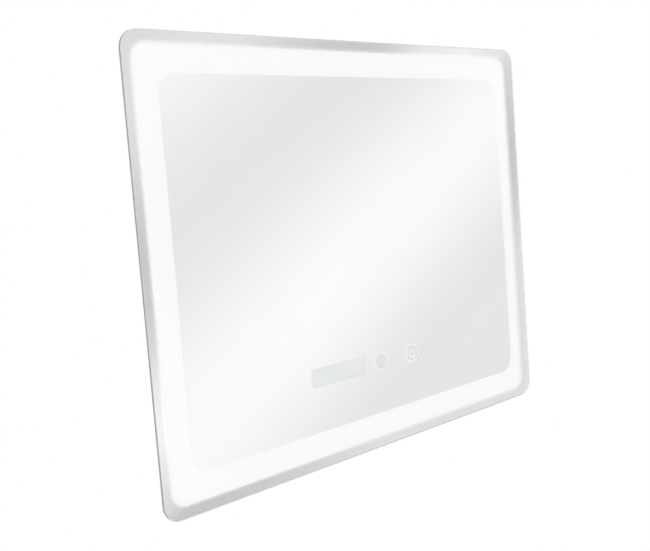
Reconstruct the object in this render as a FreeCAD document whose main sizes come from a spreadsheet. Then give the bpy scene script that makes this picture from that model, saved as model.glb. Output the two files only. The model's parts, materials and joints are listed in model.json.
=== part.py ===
import FreeCAD, Part
import Sketcher
import math
import os
import re

# A lighted bathroom mirror that hangs on a wall rail. Millimetres.
# X runs to the right as seen from the front, Y runs into the wall and Z runs up.
# The origin is on the wall plane, in the middle of the wall rail's line of screws,
# so the glass lies at negative Y and the middle of the mirror lies below the origin.

Vector = FreeCAD.Vector
doc = FreeCAD.newDocument("lighted_mirror")
sheet = doc.addObject("Spreadsheet::Sheet", "sizes")

driving_sizes = [
    # glass and coatings
    ("mirror_width", 800, "width of the glass"),
    ("mirror_height", 600, "height of the glass"),
    ("glass_corner", 25, "corner radius of the glass"),
    ("glass_thick", 4, "thickness of the glass"),
    ("arris", 0.6, "small bevel along the edges of the glass"),
    ("coat_thick", 0.2, "silver coating with its backing paint"),
    ("coat_play", 0.02, "hair's breadth between the glass and what lies on its back"),
    ("coat_margin", 1, "edge of the glass to the outer edge of the coating"),
    ("rim_width", 15, "edge of the glass to the lit band"),
    ("rim_corner", 22, "outer corner radius of the lit band"),
    ("band_edge", 51, "edge of the glass to the inner edge of the lit band"),
    ("band_corner", 26, "inner corner radius of the lit band"),
    ("diffuser_thick", 0.5, "opal sheet behind the lit band"),
    ("diffuser_lap", 8, "opal sheet behind the centre coating"),
    ("diffuser_corner", 18, "inner corner radius of the opal sheet"),
    # frame
    ("frame_inset", 17, "edge of the glass to the outside of the frame wall"),
    ("frame_corner", 14, "outer corner radius of the frame wall"),
    ("frame_wall", 1.4, "wall of the frame profile"),
    ("frame_depth", 22, "frame profile, front to back"),
    ("flange_width", 10, "glue flange that points to the edge of the glass"),
    ("ledge_width", 11, "ledge that carries the back panel"),
    ("tape_thick", 0.8, "foam tape between the glass and the frame"),
    ("tape_width", 7.5, "width of the foam tape"),
    ("tape_play", 0.3, "foam tape to the opal sheet"),
    ("key_length", 18, "corner key inside a rail"),
    ("key_thick", 1.6, "thickness of a corner key"),
    ("key_depth", 6, "corner key, front to back"),
    ("key_root", 4, "corner key inside its own corner"),
    # strips of light
    ("strip_width", 9, "width of a light strip"),
    ("strip_thick", 0.8, "thickness of a light strip"),
    ("strip_gap", 3, "light strip to the end of a corner key"),
    ("chip_long", 3.5, "light chip along the strip"),
    ("chip_wide", 2.8, "light chip across the strip"),
    ("chip_high", 0.8, "light chip above the strip"),
    ("chip_pitch", 16.6, "light chip to light chip"),
    ("chip_end", 8, "first light chip to the end of its strip"),
    # back panel
    ("panel_recess", 7, "rear edge of the frame to the rear of the panel"),
    ("panel_thick", 1, "sheet of the back panel"),
    ("panel_play", 0.5, "back panel to the frame wall"),
    ("panel_screw_end", 24, "end of a rail to its first screw"),
    ("screw_radius", 1.5, "shank of a small screw"),
    ("screw_length", 5, "shank length of a small screw"),
    ("screw_head", 3.1, "head radius of a small screw"),
    ("screw_head_high", 1.7, "head height of a small screw"),
    ("screw_crown", 2.2, "radius of the flat on top of a small screw's head"),
    ("recess_wide", 0.8, "width of a bar of the cross recess"),
    ("recess_deep", 1.1, "depth of the cross recess"),
    ("hole_play", 0.1, "shank to its hole, on the radius"),
    ("vent_long", 42, "length of a vent slot"),
    ("vent_wide", 3, "width of a vent slot"),
    ("vent_pitch", 8, "vent slot to vent slot"),
    ("vent_x", 190, "middle of the mirror to a row of vents, sideways"),
    ("vent_z", -95, "middle of the mirror to the middle of the vents, upwards"),
    ("bumper_radius", 9, "rubber bumper at the wall"),
    ("bumper_foot", 10.5, "rubber bumper at the panel"),
    ("bumper_x", 330, "middle of the mirror to a bumper, sideways"),
    ("bumper_z", 225, "middle of the mirror to a bumper, upwards"),
    ("foam_side", 26, "side of a foam block"),
    ("foam_x", 300, "middle of the mirror to a foam block, sideways"),
    ("foam_z", 140, "middle of the mirror to a foam block, upwards"),
    # hanging
    ("wall_gap", 1, "wall to the rear edge of the frame"),
    ("rail_rise", 170, "middle of the mirror to the wall screws"),
    ("rail_thick", 1.5, "sheet of both rails"),
    ("wall_rail_length", 480, "length of the wall rail"),
    ("rail_foot", 14, "wall rail below its screws"),
    ("rail_head", 6, "wall rail above its screws, up to its step"),
    ("rail_step", 5.5, "wall to the front of the wall rail's lip"),
    ("lip_height", 12, "lip of the wall rail above its step"),
    ("lip_play", 0.5, "lip of the hanger rail to the wall rail"),
    ("lip_clear", 1.5, "end of the hanger lip above the wall rail's step"),
    ("hanger_length", 500, "length of the hanger rail"),
    ("hanger_plate", 24, "height of the hanger rail's plate"),
    ("bar_thick", 2, "backing bar inside the panel"),
    ("slot_width", 7, "width of a wall screw slot"),
    ("slot_length", 16, "length of a wall screw slot"),
    ("slot_spacing", 400, "wall screw slot to wall screw slot"),
    ("rivet_radius", 2.4, "shank of a rivet"),
    ("rivet_head", 4.6, "head radius of a rivet"),
    ("rivet_head_high", 1.2, "head height of a rivet"),
    ("rivet_crown", 2.8, "radius of the flat on top of a rivet's head"),
    ("rivet_spacing", 150, "rivet to rivet"),
    # clock and touch switches
    ("clock_x", -78, "middle of the mirror to the clock, sideways"),
    ("clock_z", -170.4, "middle of the mirror to the clock, upwards"),
    ("window_wide", 110, "clock window in the coating"),
    ("window_high", 26.5, "clock window in the coating"),
    ("window_corner", 2.5, "corner radius of the clock window"),
    ("lens_lap", 3, "clock lens beyond its window"),
    ("lens_thick", 1.5, "thickness of the clock lens"),
    ("clock_wall", 2, "wall of the clock housing"),
    ("clock_depth", 12, "clock housing, front to back"),
    ("clock_play", 0.2, "pieces inside the clock housing to its wall"),
    ("board_thick", 1.6, "printed circuit board"),
    ("digit_wide", 12, "width of a digit block"),
    ("digit_high", 20, "height of a digit block"),
    ("digit_pitch", 20, "digit block to digit block"),
    ("digit_deep", 4, "depth of a digit block"),
    ("colon_side", 2.4, "side of a dot between the digits"),
    ("colon_rise", 4, "middle of the clock to a dot between the digits, upwards"),
    ("clock_post_inset", 4, "post of the clock board to the end of the board"),
    ("defog_x", 13.5, "middle of the mirror to the defog switch, sideways"),
    ("power_x", 85.5, "middle of the mirror to the power switch, sideways"),
    ("touch_z", -172.5, "middle of the mirror to the touch switches, upwards"),
    ("icon_radius", 15, "hole in the coating for a touch icon"),
    ("icon_ring", 2.2, "lit ring around a touch icon"),
    ("symbol_line", 2.2, "line width of a touch symbol"),
    ("symbol_radius", 6.5, "radius of the power symbol, middle of its line"),
    ("stem_high", 6.8, "stem of the power symbol"),
    ("stem_rise", 4.8, "middle of the power symbol to the middle of its stem"),
    ("wave_radius", 3.4, "radius of a wave of the defog symbol, middle of its line"),
    ("wave_pitch", 5.6, "wave to wave of the defog symbol"),
    ("guide_radius", 17.5, "light guide behind a touch icon"),
    ("guide_thick", 2, "thickness of a light guide"),
    ("sensor_side", 38, "side of a touch sensor board"),
    # electrics
    ("pad_wide", 380, "width of the heating pad"),
    ("pad_high", 220, "height of the heating pad"),
    ("pad_thick", 0.4, "thickness of the heating pad"),
    ("pad_z", 20, "middle of the mirror to the heating pad, upwards"),
    ("driver_x", -190, "middle of the mirror to the driver, sideways"),
    ("parts_z", 60, "middle of the mirror to the driver, board and box, upwards"),
    ("driver_long", 200, "length of the driver case"),
    ("driver_high", 46, "height of the driver case"),
    ("driver_depth", 12.5, "driver case with its cover, front to back"),
    ("case_wall", 1, "sheet of the driver case"),
    ("tab_long", 12, "fixing tab of the driver case"),
    ("driver_board_gap", 2.5, "floor of the driver case to its board"),
    ("driver_post_inset", 5, "post of the driver board to the end of the board"),
    ("capacitor_radius", 5, "radius of a capacitor in the driver"),
    ("control_x", 52, "middle of the mirror to the control board, sideways"),
    ("control_wide", 90, "width of the control board"),
    ("control_high", 50, "height of the control board"),
    ("standoff_radius", 2.6, "standoff under the control board"),
    ("standoff_inset", 5, "standoff to the edge of the control board"),
    ("wire_level", 4.4, "panel to the middle of the wires and the control board"),
    ("wire_radius", 1.1, "radius of an insulated wire"),
    ("wire_bend", 8, "bend radius of a wire"),
    ("lead_rise", 15, "leads of the driver above its middle"),
    ("supply_rise", 24, "supply wire above the control board"),
    ("supply_inset", 40, "supply wire to the end of the driver"),
    ("light_drop", 50, "light strip's lead below the middle of the driver"),
    ("clock_lead_drop", 5, "clock lead below the middle of the control board"),
    ("clock_loop", 45, "clock lead's turn above the clock housing"),
    ("pad_lead_start", 16, "heating pad's lead, board to its first turn"),
    ("pad_lead_turn", 30, "heating pad's lead, board to its second turn"),
    ("pad_lead_end", 60, "heating pad's lead, board to its end"),
    ("touch_lead_turn", 50, "touch lead's first turn above its sensor board"),
    ("touch_lead_end", 34, "touch lead's second turn above its sensor board"),
    ("box_x", 190, "middle of the mirror to the junction box, sideways"),
    ("box_wide", 84, "outside width of the junction box"),
    ("box_high", 52, "outside height of the junction box"),
    ("box_depth", 12, "junction box in front of the panel"),
    ("box_wall", 1.5, "wall of the junction box"),
    ("box_flange", 7, "flange of the junction box on the panel"),
    ("box_play", 0.4, "junction box to the hole in the panel"),
    ("grommet_bore", 4, "bore radius of the cable grommet"),
    ("grommet_neck", 6.5, "neck radius of the cable grommet"),
    ("grommet_rim", 9, "rim radius of the cable grommet"),
    ("grommet_lip", 1.5, "rim thickness of the cable grommet"),
    ("grommet_taper", 1.5, "outer rim of the cable grommet, narrower towards the wall"),
    ("grommet_shift", 22, "middle of the junction box to the grommet, sideways"),
    ("terminal_wide", 30, "width of the terminal block"),
    ("terminal_high", 20, "height of the terminal block"),
    ("terminal_deep", 8, "terminal block, front to back"),
    ("terminal_shift", 18, "middle of the junction box to the terminal block, sideways"),
    ("terminal_pitch", 9, "terminal to terminal"),
    ("well_radius", 3, "radius of a terminal's screw well"),
    ("well_deep", 4, "depth of a terminal's screw well"),
    ("well_screw_high", 2.6, "height of the screw in a terminal's well"),
    ("earth_x", 120, "middle of the mirror to the earth stud, sideways"),
    ("earth_z", -20, "middle of the mirror to the earth stud, upwards"),
    ("stud_radius", 2, "earth stud"),
    ("stud_length", 8, "length of the earth stud"),
    ("stud_foot", 4, "foot radius of the earth stud"),
    ("stud_foot_thick", 1, "foot thickness of the earth stud"),
    ("nut_radius", 4, "corner radius of the earth nut"),
    ("nut_high", 3.2, "height of the earth nut"),
    # cutting
    ("past", 1, "how far a cut runs on past the face that it opens"),
]

for row, (alias, number, note) in enumerate(driving_sizes, start=1):
    sheet.set(f"A{row}", note)
    sheet.set(f"B{row}", str(number))
    sheet.setAlias(f"B{row}", alias)
doc.recompute()
aliases = {alias for alias, number, note in driving_sizes}

# Planes along Y, from the wall to the front
frame_back = "(-wall_gap)"
panel_back = "(-wall_gap - panel_recess)"
panel_front = f"({panel_back} - panel_thick)"
ledge_front = f"({panel_front} - frame_wall)"
frame_front = "(-wall_gap - frame_depth)"
tape_front = f"({frame_front} - tape_thick)"
coat_back = tape_front
glass_back = f"({coat_back} - coat_thick)"
coat_front = f"({glass_back} + coat_play)"
coat_deep = "(coat_thick - coat_play)"
wire_plane = f"({panel_front} - wire_level)"
middle = "(-rail_rise)"                                     # height of the mirror's middle

# Frame lines, from the middle of the mirror
half_frame_x = "(mirror_width / 2 - frame_inset)"
half_frame_z = "(mirror_height / 2 - frame_inset)"
rail_run_x = "(mirror_width - 2 * frame_inset - 2 * frame_corner)"
rail_run_z = "(mirror_height - 2 * frame_inset - 2 * frame_corner)"

parts = {}                                                  # node name: object


# ---------------------------------------------------------------- helpers

def from_sheet(text):
    """Points every alias in an expression at its cell."""
    return re.sub(r"[a-z_]+", lambda word: "sizes." + word[0] if word[0] in aliases else word[0], text)


def bind(thing, field, text):
    thing.setExpression(field, from_sheet(text))


def place(thing, x, y, z):
    for axis, text in zip("xyz", (x, y, z)):
        bind(thing, "Placement.Base." + axis, text)


def keep(name, thing):
    """Marks an object as a finished piece of the mirror."""
    thing.Label = name
    parts[name] = thing
    return thing


def block(name, x, z, wide, high, front, back):
    """A box centred on x and z, between two planes along Y."""
    box = doc.addObject("Part::Box", name)
    bind(box, "Length", wide)
    bind(box, "Width", f"{back} - ({front})")
    bind(box, "Height", high)
    place(box, f"{x} - ({wide}) / 2", front, f"{z} - ({high}) / 2")
    return box


def rod(name, x, z, radius, front, back, angle=None, turn=0):
    """A cylinder along Y, or a sector of one that starts at a turn from +X towards +Z."""
    cylinder = doc.addObject("Part::Cylinder", name)
    bind(cylinder, "Radius", radius)
    bind(cylinder, "Height", f"{back} - ({front})")
    if angle is None:
        cylinder.Placement.Rotation = FreeCAD.Rotation(Vector(1, 0, 0), -90)
        place(cylinder, x, front, z)
    else:
        cylinder.Angle = angle
        upright = FreeCAD.Rotation(Vector(1, 0, 0), 90)
        cylinder.Placement.Rotation = FreeCAD.Rotation(Vector(0, 1, 0), -turn).multiply(upright)
        place(cylinder, x, back, z)
    return cylinder


def cone(name, x, z, front_radius, back_radius, front, back):
    taper = doc.addObject("Part::Cone", name)
    bind(taper, "Radius1", front_radius)
    bind(taper, "Radius2", back_radius)
    bind(taper, "Height", f"{back} - ({front})")
    taper.Placement.Rotation = FreeCAD.Rotation(Vector(1, 0, 0), -90)
    place(taper, x, front, z)
    return taper


def join(name, things):
    fused = doc.addObject("Part::MultiFuse", name)
    fused.Shapes = things
    return fused


def group(name, things):
    """Separate solids kept together."""
    bundle = doc.addObject("Part::Compound", name)
    bundle.Links = things
    return bundle


def cut(name, base, tools):
    result = doc.addObject("Part::Cut", name)
    result.Base = base
    result.Tool = tools[0] if len(tools) == 1 else group(name + "_tools", tools)
    return result


def copies(name, master, points):
    """Links to one master piece, at points of x, y and z."""
    links = []
    for number, (x, y, z) in enumerate(points):
        link = doc.addObject("App::Link", f"{name}_{number}")
        link.LinkedObject = master
        place(link, x, y, z)
        links.append(link)
    return group(name, links)


def origin_of(body, role):
    return [feature for feature in body.Origin.OriginFeatures if feature.Role == role][0]


def sketch_on(body, role, name):
    sketch = body.newObject("Sketcher::SketchObject", name)
    sketch.AttachmentSupport = [(origin_of(body, role), "")]
    sketch.MapMode = "FlatFace"
    return sketch


def polygon(sketch, points):
    """A closed outline, each corner held by its two distances from the sketch's origin."""
    first = sketch.GeometryCount
    count = len(points)
    turn = FreeCAD.Rotation(Vector(0, 0, 1), 360 / count)
    start = [Vector(1, 0, 0)]
    for number in range(count - 1):
        start.append(turn.multVec(start[-1]))
    for number in range(count):
        sketch.addGeometry(Part.LineSegment(start[number], start[(number + 1) % count]), False)
    for number in range(count):
        line = first + number
        sketch.addConstraint(Sketcher.Constraint("Coincident", line, 2, first + (number + 1) % count, 1))
        for kind, text, now in zip(("DistanceX", "DistanceY"), points[number], start[number]):
            index = sketch.addConstraint(Sketcher.Constraint(kind, -1, 1, line, 1, now))
            bind(sketch, f"Constraints[{index}]", text)


def rectangle(sketch, x, z, wide, high):
    left, right = f"{x} - ({wide}) / 2", f"{x} + ({wide}) / 2"
    low, top = f"{z} - ({high}) / 2", f"{z} + ({high}) / 2"
    polygon(sketch, [(left, low), (right, low), (right, top), (left, top)])


def circle(sketch, x, z, radius):
    line = sketch.GeometryCount
    sketch.addGeometry(Part.Circle(Vector(0, 0, 0), Vector(0, 0, 1), 1), False)
    constraints = (
        (Sketcher.Constraint("DistanceX", -1, 1, line, 3, 0), x),
        (Sketcher.Constraint("DistanceY", -1, 1, line, 3, 0), z),
        (Sketcher.Constraint("Radius", line, 1), radius),
    )
    for constraint, text in constraints:
        index = sketch.addConstraint(constraint)
        bind(sketch, f"Constraints[{index}]", text)


def pad(body, sketch, length, both_ways=False):
    feature = body.newObject("PartDesign::Pad", body.Name + "_pad")
    feature.Profile = sketch
    feature.Midplane = both_ways
    bind(feature, "Length", length)
    doc.recompute()
    return feature


def pocket(body, sketch):
    """Cuts a sketch right through the body."""
    before = body.Shape.Volume
    feature = body.newObject("PartDesign::Pocket", sketch.Name + "_pocket")
    feature.Profile = sketch
    feature.Type = "ThroughAll"
    feature.Midplane = True
    doc.recompute()
    if body.Shape.Volume >= before:
        raise ValueError(feature.Name + " cuts nothing")
    return feature


def upright_edges(feature, old_edges=()):
    """The edges along Y that the shape has and the old one lacked."""
    old = [edge.CenterOfMass for edge in old_edges]
    names = []
    for number, edge in enumerate(feature.Shape.Edges, start=1):
        along = abs(edge.tangentAt(edge.FirstParameter).y) > 0.99
        known = any(edge.CenterOfMass.distanceToPoint(centre) < 1e-6 for centre in old)
        if along and not known:
            names.append(f"Edge{number}")
    return names


def round_corners(body, feature, radius, old_edges=()):
    fillet = body.newObject("PartDesign::Fillet", feature.Name + "_round")
    fillet.Base = (feature, upright_edges(feature, old_edges))
    bind(fillet, "Radius", radius)
    doc.recompute()
    return fillet


def rounded_plate(name, wide, high, corner, thick, back):
    """A flat plate about the middle of the mirror, with its rear face at a plane along Y."""
    body = doc.addObject("PartDesign::Body", name)
    outline = sketch_on(body, "XZ_Plane", name + "_outline")
    rectangle(outline, "0", "0", wide, high)
    plate = pad(body, outline, thick)
    round_corners(body, plate, corner)
    place(body, "0", back, middle)
    return body


def open_plate(body, wide, high, corner):
    """Cuts a rounded opening in the middle of a plate."""
    old_edges = body.Shape.Edges
    opening = sketch_on(body, "XZ_Plane", body.Name + "_opening")
    rectangle(opening, "0", "0", wide, high)
    return round_corners(body, pocket(body, opening), corner, old_edges)


def screw(name, radius, length, head, head_high):
    """A pan head screw that points to the front, its seat in the plane Y = 0."""
    shank = rod(name + "_shank", "0", "0", radius, f"-({length})", "0")
    cap = cone(name + "_cap", "0", "0", head, "screw_crown", "0", head_high)
    bars = [
        block(name + "_bar_x", "0", "0", head, "recess_wide", f"{head_high} - recess_deep", head_high),
        block(name + "_bar_z", "0", "0", "recess_wide", head, f"{head_high} - recess_deep", head_high),
    ]
    return cut(name, join(name + "_blank", [shank, cap]), [join(name + "_cross", bars)])


def slot(name, x, z, length, width, front, back):
    """A round-ended slot tool that runs along X."""
    ends = [
        rod(f"{name}_{side}", f"{x} {side_sign} (({length}) - ({width})) / 2", z, f"({width}) / 2",
            front, back)
        for side, side_sign in (("left", "-"), ("right", "+"))
    ]
    return join(name, ends + [block(name + "_run", x, z, f"{length} - ({width})", width, front, back)])


def holes(name, points, radius, front, back):
    """Round hole tools along Y."""
    return [
        rod(f"{name}_{number}", x, z, radius, front, back)
        for number, (x, z) in enumerate(points)
    ]


# ---------------------------------------------------------------- glass and coatings

def make_glass():
    body = rounded_plate("mirror_glass", "mirror_width", "mirror_height", "glass_corner", "glass_thick",
                         glass_back)
    plate = body.Tip
    faces = [
        f"Face{number}" for number, face in enumerate(plate.Shape.Faces, start=1)
        if abs(face.normalAt(0, 0).y) > 0.99
    ]
    bevel = body.newObject("PartDesign::Chamfer", "glass_arris")
    bevel.Base = (plate, faces)
    bind(bevel, "Size", "arris")
    keep("mirror_glass", body)


def make_silver():
    centre = rounded_plate("silver_centre", "mirror_width - 2 * band_edge", "mirror_height - 2 * band_edge",
                           "band_corner", coat_deep, coat_back)
    icons = sketch_on(centre, "XZ_Plane", "icon_holes")
    circle(icons, "defog_x", "touch_z", "icon_radius")
    circle(icons, "power_x", "touch_z", "icon_radius")
    pocket(centre, icons)
    old_edges = centre.Shape.Edges
    window = sketch_on(centre, "XZ_Plane", "clock_window")
    rectangle(window, "clock_x", "clock_z", "window_wide", "window_high")
    round_corners(centre, pocket(centre, window), "window_corner", old_edges)
    keep("silver_centre", centre)

    rim = rounded_plate("silver_rim", "mirror_width - 2 * coat_margin", "mirror_height - 2 * coat_margin",
                        "glass_corner - coat_margin", coat_deep, coat_back)
    open_plate(rim, "mirror_width - 2 * rim_width", "mirror_height - 2 * rim_width", "rim_corner")
    keep("silver_rim", rim)


def make_diffuser():
    ring = rounded_plate("diffuser_ring", "mirror_width - 2 * rim_width", "mirror_height - 2 * rim_width",
                         "rim_corner", "diffuser_thick", f"{coat_back} + diffuser_thick")
    open_plate(ring, "mirror_width - 2 * (band_edge + diffuser_lap)",
               "mirror_height - 2 * (band_edge + diffuser_lap)", "diffuser_corner")
    keep("diffuser_ring", ring)


# ---------------------------------------------------------------- frame

def frame_section(sketch, offset):
    """The frame profile: X points out of the mirror and Y into the wall."""
    wall = f"({offset} - frame_wall)"
    ledge = f"({wall} - ledge_width)"
    flange = f"({offset} + flange_width)"
    flange_back = f"({frame_front} + frame_wall)"
    polygon(sketch, [
        (offset, frame_back), (offset, flange_back), (flange, flange_back), (flange, frame_front),
        (wall, frame_front), (wall, ledge_front), (ledge, ledge_front), (ledge, panel_front),
        (wall, panel_front), (wall, frame_back),
    ])


# side: quarter turns about Y from +X towards +Z, place of its middle, length
frame_sides = {
    "right": (0, (half_frame_x, "0", middle), rail_run_z),
    "top": (1, ("0", "0", f"{middle} + {half_frame_z}"), rail_run_x),
    "left": (2, (f"-{half_frame_x}", "0", middle), rail_run_z),
    "bottom": (3, ("0", "0", f"{middle} - {half_frame_z}"), rail_run_x),
}

screw_line = "(frame_wall + ledge_width / 2)"               # frame wall to its line of screws


def side_screws(side):
    """The panel screws of one frame side, as points of x and z."""
    if side in ("top", "bottom"):
        sign = "+" if side == "top" else "-"
        step = f"({rail_run_x} - 2 * panel_screw_end) / 3"
        z = f"{middle} {sign} ({half_frame_z} - {screw_line})"
        return [(f"{place_on} * {step}", z) for place_on in (-1.5, -0.5, 0.5, 1.5)]
    sign = "" if side == "right" else "-"
    step = f"({rail_run_z} - 2 * panel_screw_end) / 2"
    x = f"{sign}({half_frame_x} - {screw_line})"
    return [(x, f"{middle} + {place_on} * {step}") for place_on in (-1, 0, 1)]


def make_frame():
    for side, (quarters, where, length) in frame_sides.items():
        body = doc.addObject("PartDesign::Body", f"rail_{side}_profile")
        section = sketch_on(body, "XY_Plane", f"rail_{side}_section")
        frame_section(section, "0")
        pad(body, section, length, both_ways=True)
        body.Placement.Rotation = FreeCAD.Rotation(Vector(0, 1, 0), -90 * quarters)
        place(body, *where)
        drilled = holes(f"rail_{side}_hole", side_screws(side), "screw_radius + hole_play",
                        f"{ledge_front} - past", f"{panel_front} + past")
        keep(f"frame_rail_{side}", cut(f"frame_rail_{side}", body, drilled))

    corners = (("top_right", 0, "", "+"), ("top_left", 1, "-", "+"),
               ("bottom_left", 2, "-", "-"), ("bottom_right", 3, "", "-"))
    for corner, quarters, sign_x, sign_z in corners:
        name = f"frame_corner_{corner}"
        body = doc.addObject("PartDesign::Body", name)
        section = sketch_on(body, "XY_Plane", f"{name}_section")
        frame_section(section, "frame_corner")
        bend = body.newObject("PartDesign::Revolution", f"{name}_bend")
        bend.Profile = section
        bend.ReferenceAxis = (origin_of(body, "Y_Axis"), [""])
        bend.Angle = 90
        bend.Reversed = True
        inside = "(frame_corner - frame_wall)"
        key_reach = "(key_length + key_root)"
        for leg in ("side", "end"):
            key = body.newObject("PartDesign::AdditiveBox", f"{name}_{leg}_key")
            bind(key, "Width", "key_depth")
            if leg == "side":
                bind(key, "Length", "key_thick")
                bind(key, "Height", key_reach)
                place(key, f"{inside} - key_thick", f"{ledge_front} - key_depth", "-key_length")
            else:
                bind(key, "Length", key_reach)
                bind(key, "Height", "key_thick")
                place(key, "-key_length", f"{ledge_front} - key_depth", f"{inside} - key_thick")
        body.Placement.Rotation = FreeCAD.Rotation(Vector(0, 1, 0), -90 * quarters)
        place(body, f"{sign_x}({half_frame_x} - frame_corner)", "0",
              f"{middle} {sign_z} ({half_frame_z} - frame_corner)")
        keep(name, body)


def make_tape():
    """Foam tape on the glue flange of each rail, just outside the opal sheet."""
    reach_x = "(mirror_width / 2 - rim_width + tape_play + tape_width / 2)"
    reach_z = "(mirror_height / 2 - rim_width + tape_play + tape_width / 2)"
    strips = []
    for sign in ("+", "-"):
        strips.append(block(f"tape_{'top' if sign == '+' else 'bottom'}", "0", f"{middle} {sign} {reach_z}",
                            rail_run_x, "tape_width", tape_front, frame_front))
        strips.append(block(f"tape_{'right' if sign == '+' else 'left'}", f"0 {sign} {reach_x}", middle,
                            "tape_width", rail_run_z, tape_front, frame_front))
    keep("foam_tape", group("foam_tape", strips))


# ---------------------------------------------------------------- strips of light

def make_lights():
    level = f"(({frame_front} + {ledge_front}) / 2)"        # middle of the strips along Y
    front = f"{level} - strip_width / 2"
    back = f"{level} + strip_width / 2"
    clear = "2 * (key_length + strip_gap)"
    chips = []
    for side, sign in (("top", "+"), ("bottom", "-"), ("right", "+"), ("left", "-")):
        flat = side in ("top", "bottom")
        half, run = (half_frame_z, rail_run_x) if flat else (half_frame_x, rail_run_z)
        length = f"({run} - {clear})"
        line = f"({half} - frame_wall - strip_thick / 2)"
        across = ("0", f"{middle} {sign} {line}") if flat else (f"0 {sign} {line}", middle)
        wide, high = (length, "strip_thick") if flat else ("strip_thick", length)
        keep(f"led_strip_{side}", block(f"led_strip_{side}", *across, wide, high, front, back))

        body = doc.addObject("PartDesign::Body", f"chips_{side}")
        chip = body.newObject("PartDesign::AdditiveBox", f"chip_{side}")
        bind(chip, "Length", "chip_long" if flat else "chip_high")
        bind(chip, "Height", "chip_high" if flat else "chip_long")
        bind(chip, "Width", "chip_wide")
        inner = f"({half} - frame_wall - strip_thick)"
        edge = f"{inner} - chip_high" if sign == "+" else f"-{inner}"
        start = f"-{length} / 2 + chip_end - chip_long / 2"
        y = f"{level} - chip_wide / 2"
        if flat:
            place(chip, start, y, edge)
        else:
            place(chip, edge, y, start)
        doc.recompute()
        row = body.newObject("PartDesign::LinearPattern", f"row_{side}")
        row.Originals = [chip]
        row.Direction = (origin_of(body, "X_Axis" if flat else "Z_Axis"), [""])
        gaps = f"floor(({length} - 2 * chip_end) / chip_pitch)"
        bind(row, "Length", f"{gaps} * chip_pitch")
        bind(row, "Occurrences", f"{gaps} + past")
        body.Tip = row
        place(body, "0", "0", middle)
        chips.append(body)
    keep("led_chips", group("led_chips", chips))


# ---------------------------------------------------------------- back panel

vent_count = 6                                              # slots in each row of vents
panel_screw_points = [point for side in frame_sides for point in side_screws(side)]
hanger_low = "(rail_head + rail_thick + lip_height + rail_thick)"       # foot of the hanger rail's plate
rivet_z = f"({hanger_low} + hanger_plate / 2)"
rivet_points = [(f"{number} * rivet_spacing", rivet_z) for number in (-1.5, -0.5, 0.5, 1.5)]
driver_tab = "((driver_long + tab_long) / 2)"               # middle of the driver to a tab's screw
driver_screw_points = [
    (f"driver_x {sign} {driver_tab}", f"{middle} + parts_z") for sign in ("-", "+")
]
standoff_points = [
    (f"control_x {sign_x} (control_wide / 2 - standoff_inset)",
     f"{middle} + parts_z {sign_z} (control_high / 2 - standoff_inset)")
    for sign_x in ("-", "+") for sign_z in ("-", "+")
]
box_z = f"({middle} + parts_z)"
lid_screw_points = [
    (f"box_x {sign} (box_wide / 2 + box_flange / 2)", box_z) for sign in ("-", "+")
]


def make_back_panel():
    inset = "2 * (frame_wall + panel_play)"
    sheet_wide, sheet_high = (f"2 * {half} - {inset}" for half in (half_frame_x, half_frame_z))
    sheet_metal = rounded_plate("panel_sheet", sheet_wide, sheet_high,
                                "frame_corner - frame_wall - panel_play", "panel_thick", panel_back)
    front, back = f"{panel_front} - past", f"{panel_back} + past"
    tools = holes("panel_hole", panel_screw_points, "screw_radius + hole_play", front, back)
    tools += holes("panel_rivet_hole", rivet_points, "rivet_radius + hole_play", front, back)
    tools += holes("panel_driver_hole", driver_screw_points, "screw_radius + hole_play", front, back)
    tools += holes("panel_lid_hole", lid_screw_points, "screw_radius + hole_play", front, back)
    tools.append(block("panel_box_hole", "box_x", box_z, "box_wide + 2 * box_play", "box_high + 2 * box_play",
                       front, back))
    for sign in ("-", "+"):
        for number in range(vent_count):
            z = f"{middle} + vent_z + {number - (vent_count - 1) / 2} * vent_pitch"
            name = f"vent_{'left' if sign == '-' else 'right'}_{number}"
            tools.append(slot(name, f"0 {sign} vent_x", z, "vent_long", "vent_wide", front, back))
    keep("back_panel", cut("back_panel", sheet_metal, tools))

    master = screw("small_screw", "screw_radius", "screw_length", "screw_head", "screw_head_high")
    for name, spots in (("panel_screws", panel_screw_points), ("driver_screws", driver_screw_points)):
        keep(name, copies(name, master, [(x, panel_back, z) for x, z in spots]))
    lid_seat = f"{panel_back} + 2 * box_wall"
    keep("lid_screws", copies("lid_screws", master, [(x, lid_seat, z) for x, z in lid_screw_points]))


def make_spacers():
    bumpers = []
    foams = []
    for number, (sign_x, sign_z) in enumerate((("-", "-"), ("-", "+"), ("+", "-"), ("+", "+"))):
        bumpers.append(cone(f"bumper_{number}", f"0 {sign_x} bumper_x", f"{middle} {sign_z} bumper_z",
                            "bumper_foot", "bumper_radius", panel_back, "0"))
        foams.append(block(f"foam_{number}", f"0 {sign_x} foam_x", f"{middle} {sign_z} foam_z",
                           "foam_side", "foam_side", coat_back, panel_front))
    keep("wall_bumpers", group("wall_bumpers", bumpers))
    keep("foam_blocks", group("foam_blocks", foams))


# ---------------------------------------------------------------- hanging

def rail_body(name, points, length):
    """A folded rail: its section in Y and Z, run along X."""
    body = doc.addObject("PartDesign::Body", name)
    section = sketch_on(body, "YZ_Plane", name + "_section")
    polygon(section, points)
    pad(body, section, length, both_ways=True)
    return body


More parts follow.
